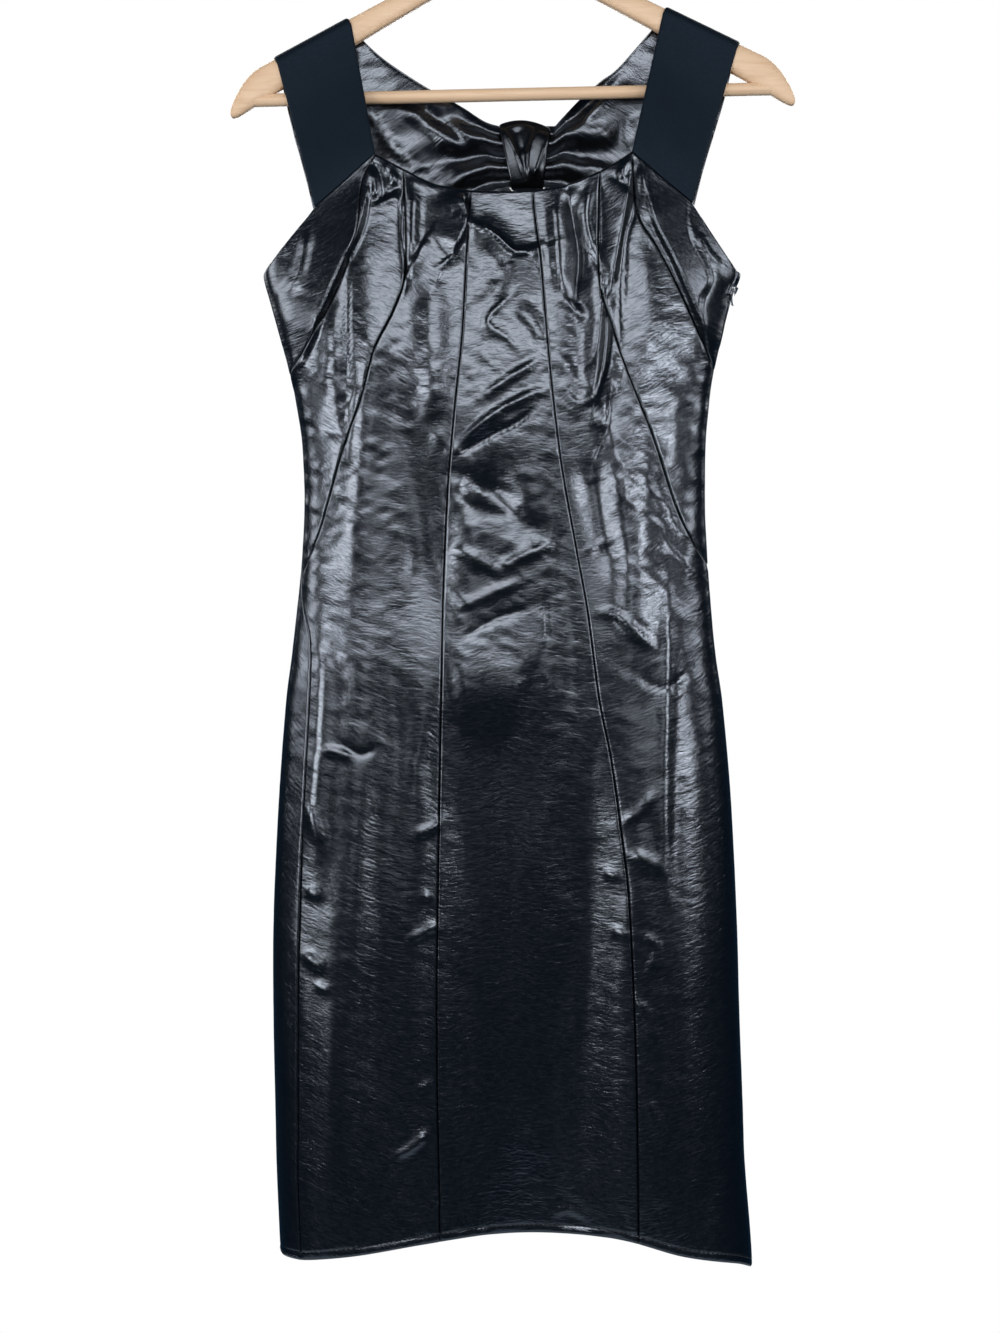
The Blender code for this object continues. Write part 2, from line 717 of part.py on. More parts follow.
def drape_places(half):
    """Grid of x and z of the back drape, from the shoulder to the knot."""
    shoulder = arm_edge(half, DRAPE_COLUMNS)[::-1]
    end_x = KNOT_X + half.sign * SEAM_GAP / 2
    high_x = KNOT_X + half.sign * (KNOT_TOP_WIDTH / 2 + 1)
    deep_x, deep = half.knot_corner()
    high = KNOT_Z + KNOT_REACH
    armhole = resample((shoulder[-1],) + half.back_armhole, ARMHOLE_ROWS)
    to_knot = resample((half.drape_seam[-1], (deep_x, deep)), KNOT_ROWS)
    low = armhole + resample(half.drape_seam, SEAM_ROWS)[1:] + to_knot[1:]
    neck = resample((shoulder[0],) + half.back_neck + ((high_x, high),), len(low) - 1)
    low += resample(((deep_x, deep), (end_x, deep)), KNOT_ROWS)[1:]
    neck += resample(((high_x, high), (end_x, high)), KNOT_ROWS)[1:]
    knot_end = [(end_x, KNOT_Z + KNOT_REACH * (1 - 2 * j / DRAPE_COLUMNS))
                for j in range(DRAPE_COLUMNS + 1)]
    return coons(neck, low, shoulder, knot_end)


def gather(points):
    """Draw a drape's grid into folds towards the knot, inside the knot's band."""
    knot_y = skin(*back(KNOT_X, KNOT_Z)).y
    entry = len(points) - 1 - KNOT_ROWS
    inner_depth = KNOT_HALF_DEPTH - WALL / 2
    inner_height = KNOT_HALF_HEIGHT - WALL / 2
    for i, line in enumerate(points):
        along = min(1.0, i / entry)
        flat = smoothstep((along - 0.8) / 0.2)
        for j, point in enumerate(line):
            across = 2 * j / DRAPE_COLUMNS - 1
            room = inner_depth * sqrt(1 - (across * KNOT_REACH / inner_height) ** 2)
            height = max(0.0, room - WALL / 2 - KNOT_PLAY)
            wave = sin(2 * pi * GATHER_WAVES * j / DRAPE_COLUMNS)
            point.y += (knot_y - point.y) * flat
            point.y += height * wave * smoothstep((along - GATHER_START) / (1 - GATHER_START))


def back_drape(half):
    flat = drape_places(half)
    points, normals = shell_grid([[back(x, z) for x, z in line] for line in flat])
    gather(points)
    roll_points, roll_normals = arc_rows(flat[0], 1, 0.0)
    points, normals = roll_points + points, roll_normals + normals
    if half.sign < 0:
        points = [line[::-1] for line in points]
        normals = [line[::-1] for line in normals]
    wall_piece("back_drape_" + half.suffix, draw_in(points, ("top", "right", "left")),
               normals, "satin")


# ---------------------------------------------------------------- pieces of the back
def back_panel(half):
    rows = YOKE_COLUMNS + SIDE_ROWS + LOW_ROWS
    side = half.side_top() + half.side_mid()[1:] + half.side_low()[1:]
    side = [(t + half.back_turn, z) for t, z in side]
    centre_hem = hem_under(BACK_CENTRE_SEAM, back)
    centre = fall(BACK_CENTRE_SEAM, BACK_CENTRE_SEAM[0][1], centre_hem, rows, back)
    corner_x, corner_z = half.knot_corner()
    notch = (corner_x - half.sign * KNOT_NOTCH, BACK_CENTRE_SEAM[0][1])
    seam = (resample(half.drape_seam, SEAM_ROWS)
            + [(corner_x, corner_z), notch, BACK_CENTRE_SEAM[0]])
    wing = [back(*p) for p in half.back_wing]
    silhouette = (1.0 + half.back_turn / 2, half.tip_z)
    tip = (side[0][0], side[0][1])
    corner = resample((tip, silhouette, wing[2], wing[1], wing[0])
                      if half.sign > 0 else (tip, wing[2], wing[1], wing[0]), 4)
    top = corner + [back(*p) for p in seam][1:]
    bottom = hem_line(side[-1][0], centre[-1][0], len(top) - 1)
    places = coons(side, centre, top, bottom)
    if half.sign < 0:
        places = [line[::-1] for line in places]
    points, normals = shell_grid(places)
    wall_piece("back_" + half.suffix, draw_in(points, ("left", "right", "top")),
               normals, "satin")


def knot():
    """Band of cloth wrapped once round the ends of the two drapes."""
    middle_y = skin(*back(KNOT_X, KNOT_Z)).y
    work = bmesh.new()
    columns = KNOT_COLUMNS
    sheets = []
    for side in (0.5, -0.5):
        sheet = []
        for i in range(KNOT_STEPS):
            angle = 2 * pi * i / KNOT_STEPS
            swell = (1 + cos(angle)) / 2
            width = KNOT_FOOT_WIDTH + (KNOT_TOP_WIDTH - KNOT_FOOT_WIDTH) * swell
            normal = Vector((0, -sin(angle) / KNOT_HALF_DEPTH,
                             cos(angle) / KNOT_HALF_HEIGHT)).normalized()
            line = []
            for j in range(columns + 1):
                across = j / columns - 0.5
                point = Vector((KNOT_X + across * width,
                                middle_y - KNOT_HALF_DEPTH * sin(angle),
                                KNOT_Z + KNOT_HALF_HEIGHT * cos(angle)))
                line.append(work.verts.new((point + normal * WALL * side) * MM))
            sheet.append(line)
        sheets.append(sheet)
    outer, inner = sheets
    for i in range(KNOT_STEPS):
        k = (i + 1) % KNOT_STEPS
        for j in range(columns):
            work.faces.new((outer[i][j], outer[k][j], outer[k][j + 1], outer[i][j + 1]))
            work.faces.new((inner[i][j], inner[i][j + 1], inner[k][j + 1], inner[k][j]))
        work.faces.new((outer[i][0], inner[i][0], inner[k][0], outer[k][0]))
        work.faces.new((outer[i][columns], outer[k][columns],
                        inner[k][columns], inner[i][columns]))
    bmesh.ops.triangulate(work, faces=work.faces)
    add_object("knot", work, "satin_matte")


# ---------------------------------------------------------------- zip
def zip_frame():
    """Place on the side seam's outside: across the zip, up the zip, outward."""
    t = spline(SIDE_SEAM_L, ZIP_Z, 1)
    base = skin(t, ZIP_Z)
    outward = skin_normal(t, ZIP_Z)
    high, low = ZIP_Z + ZIP_REACH, ZIP_Z - ZIP_REACH
    up = (skin(spline(SIDE_SEAM_L, high, 1), high)
          - skin(spline(SIDE_SEAM_L, low, 1), low)).normalized()
    across = up.cross(outward).normalized()
    up = outward.cross(across)
    seat = base + outward * SEAT_RISE
    frame = Matrix((across, up, outward)).transposed().to_4x4()
    frame.translation = seat * MM
    return frame


def block(name, size, centre):
    work = bmesh.new()
    bmesh.ops.create_cube(work, size=1.0)
    for vert in work.verts:
        vert.co = Vector([(c * s + m) * MM for c, s, m in zip(vert.co, size, centre)])
    return add_object(name, work, "steel")


def apply_boolean(target, other, operation):
    """Join or cut one object with another, and drop the other."""
    modifier = target.modifiers.new(operation.title(), "BOOLEAN")
    modifier.operation = operation
    modifier.solver = "EXACT"
    modifier.object = other
    graph = bpy.context.evaluated_depsgraph_get()
    mesh = bpy.data.meshes.new_from_object(target.evaluated_get(graph))
    target.modifiers.remove(modifier)
    target.data = mesh
    bpy.data.objects.remove(other, do_unlink=True)


def zip_slider(frame):
    body = block("zip_slider", (SLIDER_WIDTH, SLIDER_LENGTH, SLIDER_DEEP),
                 (0, 0, SLIDER_DEEP / 2))
    bail_height = BAIL_DEEP + JOIN_DEEP
    bail = block("bail", (BAIL_WIDTH, BAIL_LENGTH, bail_height),
                 (0, 0, SLIDER_DEEP - JOIN_DEEP + bail_height / 2))
    tunnel = block("tunnel", (BAIL_WIDTH * 3, TUNNEL_LENGTH, TUNNEL_DEEP),
                   (0, 0, SLIDER_DEEP + 0.01 + TUNNEL_DEEP / 2))
    apply_boolean(bail, tunnel, "DIFFERENCE")
    apply_boolean(body, bail, "UNION")
    body.matrix_world = frame


def zip_pull(frame):
    """Tab with a window; the strip above the window turns in the slider's bail."""
    work = bmesh.new()
    steps = PULL_CORNER_STEPS
    outline, window = [], []
    half, corner, top = PULL_WIDTH / 2, PULL_CORNER, PULL_TOP_CORNER
    bar = PULL_THICK / 2
    centres = ((half - corner, bar - top, top), (-half + corner, bar - top, top),
               (-half + corner, bar - PULL_LENGTH + corner, corner),
               (half - corner, bar - PULL_LENGTH + corner, corner))
    hole_half = PULL_HOLE_WIDTH / 2
    holes = ((hole_half, -bar), (-hole_half, -bar),
             (-hole_half, -bar - PULL_HOLE_LENGTH), (hole_half, -bar - PULL_HOLE_LENGTH))
    for quarter, ((cx, cy, radius), (hx, hy)) in enumerate(zip(centres, holes)):
        inner_x = half - radius if cx > 0 else -half + radius
        for k in range(steps + 1):
            angle = pi / 2 * (quarter + k / steps)
            outline.append((inner_x + radius * cos(angle), cy + radius * sin(angle)))
            turn = PULL_HOLE_CORNER
            window.append((hx - turn * (1 if hx > 0 else -1) + turn * cos(angle),
                           hy - turn * (1 if quarter < 2 else -1) + turn * sin(angle)))
    count = len(outline)
    layers = []
    for z in (PULL_THICK / 2, -PULL_THICK / 2):
        layers.append(([work.verts.new((x * MM, y * MM, z * MM)) for x, y in outline],
                       [work.verts.new((x * MM, y * MM, z * MM)) for x, y in window]))
    (top_out, top_in), (low_out, low_in) = layers
    for i in range(count):
        k = (i + 1) % count
        work.faces.new((top_out[i], top_out[k], top_in[k], top_in[i]))
        work.faces.new((low_out[k], low_out[i], low_in[i], low_in[k]))
        work.faces.new((top_out[k], top_out[i], low_out[i], low_out[k]))
        work.faces.new((top_in[i], top_in[k], low_in[k], low_in[i]))
    bmesh.ops.triangulate(work, faces=work.faces)
    pull = add_object("zip_pull", work, "steel")
    plumb = frame.to_3x3().transposed() @ Vector((0, 0, -1))
    hang = Matrix.Rotation(-atan2(plumb.z, -plumb.y), 4, "X")
    pull.matrix_world = frame @ Matrix.Translation((0, 0, PULL_AXIS_OUT * MM)) @ hang


# ---------------------------------------------------------------- hanger
def arm_edges(x):
    """Upper and lower edge of the wooden arms at a place across."""
    upper = ARM_PEAK_Z - ARM_UPPER_SLOPE * sqrt(x * x + ARM_UPPER_ROUND ** 2)
    lower = ARM_LOWER_Z - ARM_LOWER_SLOPE * sqrt(x * x + ARM_LOWER_ROUND ** 2)
    tip = max(0.0, (abs(x) - ARM_TIP_START) / (ARM_TIP_X - ARM_TIP_START))
    middle, half = (upper + lower) / 2, (upper - lower) / 2
    middle -= ARM_TIP_DROP * tip * tip
    return middle + half * sqrt(1 - tip * tip), middle - half * sqrt(1 - tip * tip)


def round_rod(name, start, end, radius, sides, material_name):
    work = bmesh.new()
    axis = Vector(end) - Vector(start)
    turn = axis.to_track_quat("Z", "Y").to_matrix().to_4x4()
    place = Matrix.Translation((Vector(start) + Vector(end)) / 2 * MM) @ turn
    bmesh.ops.create_cone(work, cap_ends=True, segments=sides, radius1=radius * MM,
                          radius2=radius * MM, depth=axis.length * MM, matrix=place)
    return add_object(name, work, material_name)


def hanger_arms():
    tips = [inward - ARM_TIP_X for inward in ARM_TIP_STATIONS]
    inner = [ARM_STATION_X * (2 * i / ARM_STEPS - 1) for i in range(ARM_STEPS + 1)]
    stations = tips + inner + [-x for x in reversed(tips)]
    sides = ARM_SIDES
    work = bmesh.new()
    rings = []
    for x in stations:
        upper, lower = arm_edges(x)
        tip = max(0.0, (abs(x) - ARM_TIP_START) / (ARM_TIP_X - ARM_TIP_START))
        thick = ARM_THICK / 2 * (1 - ARM_TIP_THINNING * tip * tip)
        ring = []
        for k in range(sides):
            angle = 2 * pi * (k + 0.5) / sides
            across, up = cos(angle), sin(angle)
            round_y = thick * copysign(abs(across) ** ARM_FLAT_Y, across)
            round_z = ((upper + lower) / 2
                       + (upper - lower) / 2 * copysign(abs(up) ** ARM_FLAT_Z, up))
            ring.append(work.verts.new(Vector((x, round_y, round_z)) * MM))
        rings.append(ring)
    for a, b in zip(rings, rings[1:]):
        for k in range(sides):
            m = (k + 1) % sides
            work.faces.new((a[k], a[m], b[m], b[k]))
    work.faces.new(rings[0])
    work.faces.new(rings[-1][::-1])
    arms = add_object("hanger_arms", work, "wood")
    bore_end = BAR_END_X + BORE_PLAY
    bore = round_rod("bore", (-bore_end, 0, BAR_Z), (bore_end, 0, BAR_Z),
                     BAR_RADIUS + BORE_PLAY, ROD_SIDES, "wood")
    apply_boolean(arms, bore, "DIFFERENCE")
    crown = arm_edges(0)[0]
    socket = round_rod("socket", (0, 0, crown - STEM_SUNK - BORE_PLAY), (0, 0, crown + 5),
                       WIRE_RADIUS + BORE_PLAY, SOCKET_SIDES, "wood")
    apply_boolean(arms, socket, "DIFFERENCE")
    arms.rotation_euler = (0, -HANGER_TILT, 0)


def hanger_bar():
    bar = round_rod("hanger_bar", (-BAR_END_X, 0, BAR_Z), (BAR_END_X, 0, BAR_Z),
                    BAR_RADIUS, ROD_SIDES, "wood")
    bar.rotation_euler = (0, -HANGER_TILT, 0)


def hanger_hook():
    """Bent wire: a stem out of the wood, then the hook's open ring."""
    crown = arm_edges(0)[0]
    ring_radius = HOOK_RADIUS + WIRE_RADIUS
    path = [(0, crown - STEM_SUNK), (0, crown - STEM_STRAIGHT), (0, crown + STEM_RISE),
            (STEM_BEND[0], crown + STEM_BEND[1])]
    for degrees in range(HOOK_START, HOOK_END, HOOK_STEP):
        angle = radians(degrees)
        path.append((ring_radius * cos(angle), -HOOK_RADIUS + ring_radius * sin(angle)))
    curve = bpy.data.curves.new("hanger_hook", "CURVE")
    curve.dimensions = "3D"
    curve.bevel_depth = WIRE_RADIUS * MM
    curve.bevel_resolution = 2
    curve.use_fill_caps = True
    smooth = resample(path, HOOK_POINTS)
    line = curve.splines.new("POLY")
    line.points.add(len(smooth) - 1)
    for point, (x, z) in zip(line.points, smooth):
        point.co = (x * MM, 0, z * MM, 1)
    curve.materials.append(material("steel"))
    hook = bpy.data.objects.new("hanger_hook", curve)
    bpy.context.scene.collection.objects.link(hook)
    hook.rotation_euler = (0, -HANGER_TILT, 0)


def main():
    for thing in list(bpy.data.objects):
        bpy.data.objects.remove(thing, do_unlink=True)
    right, left = Half("r", -1), Half("l", 1)
    front_center(right, left)
    for half in (right, left):
        front_mid(half)
        front_side(half)
        front_yoke(half)
        strap(half)
        back_drape(half)
        back_panel(half)
    knot()
    frame = zip_frame()
    zip_slider(frame)
    zip_pull(frame)
    hanger_arms()
    hanger_bar()
    hanger_hook()


main()
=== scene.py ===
"""Cocktail dress on a wooden hanger: its satin, seams, creases, zip and hanger.

The dress hangs from the hook at the origin, and its front faces -Y. The tables
are in millimetres, and the meshes are in metres.
"""
from math import atan2, cos, pi, radians, sin

import bmesh
import bpy
import numpy as np
from mathutils import Matrix, Vector


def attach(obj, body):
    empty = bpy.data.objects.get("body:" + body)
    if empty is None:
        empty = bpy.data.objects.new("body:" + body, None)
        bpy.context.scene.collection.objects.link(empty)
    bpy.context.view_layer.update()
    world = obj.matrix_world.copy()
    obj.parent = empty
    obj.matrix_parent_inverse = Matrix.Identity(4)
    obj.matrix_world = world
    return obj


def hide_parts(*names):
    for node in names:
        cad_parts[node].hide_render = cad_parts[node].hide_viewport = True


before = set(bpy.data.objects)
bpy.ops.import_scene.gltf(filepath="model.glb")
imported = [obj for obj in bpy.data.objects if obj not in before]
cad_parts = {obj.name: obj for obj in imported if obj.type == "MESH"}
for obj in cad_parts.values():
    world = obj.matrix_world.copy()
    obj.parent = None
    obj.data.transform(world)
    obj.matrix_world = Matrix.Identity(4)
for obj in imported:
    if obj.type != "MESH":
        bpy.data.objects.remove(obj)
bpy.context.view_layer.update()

bl_info = {
    "name": "Cocktail Dress",
    "version": (1, 0, 0),
    "blender": (4, 5, 0),
    "location": "View3D > Sidebar > Dress",
    "description": "Builds the cloth, zip and hanger of a sleeveless cocktail dress",
    "category": "Add Mesh",
}

MM = 0.001
ENDS = np.array((0.0, 1.0))

# ---- shell of the dress, top to bottom
# z | centre x | half width | front depth | back depth | hollow of the front's middle
SECTIONS = (
    (-60, -4.0, 186.0, 14, 12, 0.00),
    (-200, -4.0, 186.0, 24, 20, 0.00),
    (-268, -4.0, 185.5, 31, 24, 0.00),
    (-328, -4.0, 184.9, 35, 27, 0.00),
    (-346, -5.3, 179.4, 36, 28, 0.00),
    (-374, -4.9, 171.8, 37, 29, 0.00),
    (-400, -4.4, 165.0, 37.5, 30, 0.00),
    (-426, -3.6, 160.2, 37.5, 30, 0.00),
    (-465, -2.4, 156.0, 37, 30, 0.02),
    (-504, -1.8, 155.2, 36.5, 31, 0.06),
    (-543, -1.8, 156.8, 37.5, 33, 0.14),
    (-582, -2.2, 159.9, 40.5, 37, 0.24),
    (-621, -2.6, 163.8, 44, 42, 0.32),
    (-660, -2.2, 168.9, 47, 46, 0.40),
    (-746, -1.6, 175.5, 53, 53, 0.52),
    (-862, -1.2, 179.8, 60, 58, 0.62),
    (-1003, 1.9, 180.6, 65, 61, 0.70),
    (-1110, 7.4, 182.0, 67, 62, 0.75),
)
SECTION_POWER = 0.6
HOLLOW_CENTRE = 0.02
HOLLOW_WIDTH = 0.33

# ---- hem height round the body: t | z
HEM = (
    (-1.0, -1088.0), (-0.75, -1085.0), (-0.5, -1079.5), (-0.25, -1073.0),
    (0.0, -1070.0), (0.25, -1069.0), (0.5, -1080.0), (0.75, -1088.0),
    (1.0, -1097.0), (1.4, -1094.0), (2.0, -1086.0), (2.6, -1085.0), (3.0, -1088.0),
)
HEM_GUIDE_Z = -1080.0

# ---- seams of each half, wearer's right then left: x | z
CENTRE_SEAM = {
    "r": ((-28.5, -268.4), (-31.4, -324.0), (-34.3, -378.0), (-39.6, -431.5),
          (-46.0, -506.0), (-49.0, -583.0), (-50.4, -659.0), (-52.7, -811.0),
          (-53.5, -887.0), (-51.3, -1100.0)),
    "l": ((19.8, -268.4), (25.7, -324.0), (31.6, -394.0), (40.1, -469.0),
          (53.2, -545.0), (61.3, -590.0), (70.3, -659.0), (79.1, -704.0),
          (86.4, -757.0), (92.4, -809.0), (96.0, -884.0), (98.2, -959.0),
          (99.7, -1100.0)),
}
PRINCESS_SEAM = {
    "r": ((-79.7, -251.1), (-78.0, -300.0), (-78.5, -336.0), (-87.4, -363.0),
          (-100.3, -390.0), (-111.8, -431.0), (-123.7, -461.0), (-144.0, -528.0),
          (-154.1, -562.0)),
    "l": ((71.1, -252.9), (69.6, -300.0), (70.5, -340.0), (77.9, -367.0),
          (87.8, -397.0), (100.8, -431.0), (112.6, -461.0), (128.9, -509.0),
          (142.0, -536.0), (150.5, -553.0)),
}
YOKE_SEAM = {
    "r": ((-101.3, -239.1), (-111.2, -262.3), (-114.0, -300.0), (-127.6, -338.5),
          (-145.0, -374.0), (-165.5, -407.0)),
    "l": ((95.7, -237.6), (97.2, -262.0), (101.0, -289.0), (116.7, -315.0),
          (136.0, -353.0), (157.0, -404.0)),
}
# side seams: z | t
SIDE_SEAM = {
    "r": ((-328.0, -1.0), (-407.0, -1.0), (-520.0, -0.99), (-562.0, -0.93),
          (-613.0, -0.73), (-659.0, -0.69), (-735.0, -0.68), (-811.0, -0.68),
          (-910.0, -0.69), (-1066.0, -0.71), (-1110.0, -0.71)),
    "l": ((-326.0, 0.87), (-356.0, 0.88), (-404.0, 0.94), (-465.0, 1.0),
          (-553.0, 1.03), (-660.0, 1.12), (-811.0, 1.18), (-1110.0, 1.20)),
}
BACK_SEAM = ((16.0, -257.8), (12.0, -330.0), (4.0, -430.0), (-2.0, -560.0),
             (-2.0, -800.0), (4.0, -1110.0))

# ---- edges of the neck, straps and armholes: x | z
NECK_CENTRE = ((-28.5, -268.4), (-5.0, -269.2), (19.8, -268.4))
NECK_MID = {
    "r": ((-79.7, -251.1), (-65.0, -259.0), (-51.5, -264.4), (-28.5, -268.4)),
    "l": ((71.1, -252.9), (48.1, -262.9), (36.0, -266.0), (19.8, -268.4)),
}
NECK_SIDE = {
    "r": ((-101.3, -239.1), (-90.0, -245.5), (-79.7, -251.1)),
    "l": ((95.7, -237.6), (83.0, -246.0), (71.1, -252.9)),
}
STRAP_JOIN = {
    "r": ((-147.9, -280.4), (-124.0, -260.0), (-101.3, -239.1)),
    "l": ((142.3, -276.6), (119.0, -258.0), (95.7, -237.6)),
}
WING_EDGE = {
    "r": ((-147.9, -280.4), (-168.0, -304.0), (-188.8, -328.0)),
    "l": ((142.3, -276.6), (160.0, -303.0), (177.0, -326.0)),
}
STRAP_INNER_X = 121.0
STRAP_OUTER_X = 178.5
BACK_NECK = {
    "r": ((-99.7, -154.2), (-68.4, -174.3), (-37.1, -190.5), (-18.0, -202.0)),
    "l": ((88.8, -161.5), (73.3, -172.9), (57.6, -185.8), (43.0, -200.0)),
}
BACK_ARMHOLE = {
    "r": ((-170.0, -205.0), (-158.0, -250.0), (-150.0, -284.0)),
    "l": ((170.0, -190.0), (155.0, -240.0), (145.0, -281.0)),
}
DRAPE_SEAM = {
    "r": ((-150.0, -284.0), (-120.0, -291.0), (-80.0, -286.0), (-40.0, -270.0),
          (-10.0, -257.0)),
    "l": ((145.0, -281.0), (120.0, -289.0), (92.0, -283.0), (66.0, -270.0),
          (42.0, -257.0)),
}
BACK_WING = {
    "r": ((-150.0, -284.0), (-168.0, -303.0), (-181.0, -318.0)),
    "l": ((145.0, -281.0), (164.0, -302.0), (176.0, -316.0)),
}

# ---- panels: width and length of the grid in mm | flat width, flat height, area in m
PANELS = {
    "front_center": (150, 802, 0.156, 0.810, 0.095),
    "front_mid_r": (120, 830, 0.135, 0.840, 0.079),
    "front_mid_l": (120, 830, 0.200, 0.860, 0.102),
    "front_side_r": (48, 330, 0.075, 0.335, 0.0150),
    "front_side_l": (48, 330, 0.075, 0.335, 0.0150),
    "front_yoke_r": (70, 170, 0.095, 0.180, 0.0075),
    "front_yoke_l": (70, 170, 0.095, 0.180, 0.0062),
    "back_r": (205, 800, 0.260, 0.850, 0.190),
    "back_l": (205, 800, 0.200, 0.850, 0.144),
    "strap": (58, 112, 0.066, 0.155, 0.0080),
    "back_drape": (62, 185, 0.110, 0.270, 0.0215),
}
# shares of a line where one of its parts ends and the next one starts
PRINCESS_SHARE = 15 / 35
YOKE_SHARE = 8 / 15
BACK_SIDE_SHARES = (6 / 33, 13 / 33)
BACK_TOP_SHARES = (4 / 15, 12 / 15)
DRAPE_LOW_SHARES = (6 / 18, 14 / 18)
DRAPE_FREE = 16 / 18    # share of a drape that lies outside the knot
SIDE_POINT = 0.998      # share of the outer seam where a side panel's point is cut off

# ---- cloth: walls, seams and edges
HALF_WALL = 0.75        # from the shell's middle to the cloth's outer face
SEAM_ROLL = 0.6
EDGE_ROLL = 0.9
EDGE_TURN = 0.8
EDGE_FLAT = 9           # distance from a free edge over which the relief fades
EDGE_LEFT = 0.35        # share of the relief that is left at a free edge
LEVEL_EDGE = 1.9        # the higher, the nearer to the body's edges the relief goes
HEM_GROOVE = 0.28
HEM_GROOVE_WIDTH = 0.8
EDGE_STEPS = (0.0, 0.5, 1.1, 1.9, 3.0)
HEM_STEPS = (4.4, 5.3, 5.9, 6.5, 7.2, 8.6)
STITCH_GAP = 1.0
THREAD_RADIUS = 0.22
THREAD_LIFT = 0.06
SHARP_ANGLE = 50

# ---- uneven cloth: each wave's size across | size down | height
BEND = (46, 60, 8)
SWAY = ((27, 190, 1.0), (15, 64, 0.4))
CRUSH = ((17, 6.4, 1.0), (12, 5.2, 0.7))
CRUSH_FOLD = (52, 21, 2)
CRUSH_FOLD_HEIGHT = 1.3
STRAP_WAVES = ((26, 60, 0.9), (9, 16, 0.25))
DRAPE_WAVES = ((26, 26, 8), (22, 15, 1.9), (10, 7, 0.5))
CRUSH_LEAST = 0.25      # share of the crush marks that is left far from the waist
WAIST_Z = -480
WAIST_REACH = 170
# where the broad waves get lower: start | span | how much
CHEST = (-470, 90, 0.5)
YOKE_X = (105, 12, 0.6)
YOKE_Z = (-350, 30, 1)
SMOOTH_SHARE = 0.8      # how much of the crush marks a smooth stretch takes away
SMOOTH_WIDEN = 1.4
NOISE_LATTICE = (97, 89)
RELIEF_SEED = {"front": 11, "back": 47}
STRAP_SEED = 31
DRAPE_SEED = 60

# ---- knot at the back neck
KNOT_X = 16.0
KNOT_Z = -230.0
KNOT_HALF_HEIGHT = 26.0
KNOT_HALF_DEPTH = 7.0
KNOT_TOP_WIDTH = 42.0
KNOT_FOOT_WIDTH = 20.0
KNOT_REACH = 24.3
KNOT_SHOULDER = 4.0
KNOT_NOTCH = 2.5
KNOT_FLARE = 5.0
KNOT_LEAN = 2.0
KNOT_CROWN = 2.2
KNOT_CROWN_CURVE = 22
KNOT_CROWN_SHIFT = 0.08
# shares down a drape: start | span | how much
DRAPE_PULL = (0.45, 0.5, 1)
DRAPE_CALM = (0.72, 0.2, 1)
DRAPE_SETTLE = (0.8, 0.2, 1)
DRAPE_FINER = 0.8       # its mesh spacing as a share of the dress's
DRAPE_LIFT = 0.4
DRAPE_GAP = 0.3         # between the drapes' ends inside the knot
GATHERS = 5

# ---- hanger
HANGER_TILT = radians(1.3)
ARM_PEAK_Z = -61.1
ARM_UPPER_SLOPE = 0.511
ARM_UPPER_ROUND = 12.0
ARM_LOWER_Z = -72.4
ARM_LOWER_SLOPE = 0.588
ARM_LOWER_ROUND = 25.0
ARM_THICK = 12.0
STRAP_GAP = 0.35
ARM_TIP_X = 220.0
ARM_TIP_START = 196.0
ARM_TIP_DROP = 9.0
ARM_TIP_THIN = 0.35
ARM_POWER_Z, ARM_POWER_Y = 0.8, 0.6
BAR_Z = -186.9
BAR_RADIUS = 5.0
BAR_END_X = 207.0
HOOK_RADIUS = 19.0
HOOK_START, HOOK_END, HOOK_STEP = -62, 206, 16
STEM = ((0, -20), (0, -10), (0, 6), (0.4, 16))    # x | height over the wood
WIRE_RADIUS = 1.75
STRAP_ROUND = ARM_THICK / 2 + STRAP_GAP + HALF_WALL
STRAP_REACH = 120.0     # height over which the straps and drapes close onto the arms
STRAP_TIGHT = 40        # height below the arms over which the straps get uneven

# ---- zip
ZIP_Z = -341.0
ZIP_TOP_Z = -333.0
ZIP_END_Z = -548.0
TOOTH_PITCH = 1.6
TOOTH_RADII = (1.1, 0.5, 0.45)
TOOTH_OFFSET = 0.55
SLIDER_LENGTH = 6.0

# ---- lamps: name | azimuth from the front | elevation | width | height | watts
LAMPS = (
    ("Front high", 0, 23, 1.2, 0.62, 15.0),
    ("Front low", 0, 4, 0.3, 0.3, 0.7),
    ("Left low", -41, 3, 0.85, 0.5, 12.5),
    ("Right low", 31, 6, 0.5, 0.32, 7.0),
    ("Left window", -74, 17, 0.6, 0.75, 9.0),
    ("Right window", 62, 21, 0.55, 0.75, 9.0),
    ("Left rim", -122, 20, 0.8, 0.6, 4.5),
    ("Right rim", 122, 20, 0.8, 0.6, 4.5),
    ("Back high", 180, 18, 0.9, 0.9, 15.0),
    ("Back left", 140, 42, 1.0, 0.7, 16.0),
    ("Back right", -140, 42, 1.0, 0.7, 16.0),
)
LAMP_DISTANCE = 1.9
LAMP_AIM = (0, 0, -0.6)
FLOOR_Z = -1.55
FLOOR_RADIUS = 0.95
FILL = ((0.12, 0.48, 1.0, 1), 0.06)
PAPER = ((1.0, 1.0, 1.0, 1), 1.0)
EYE = (-0.0055, -1.6, -0.633)
LENS = 55.38

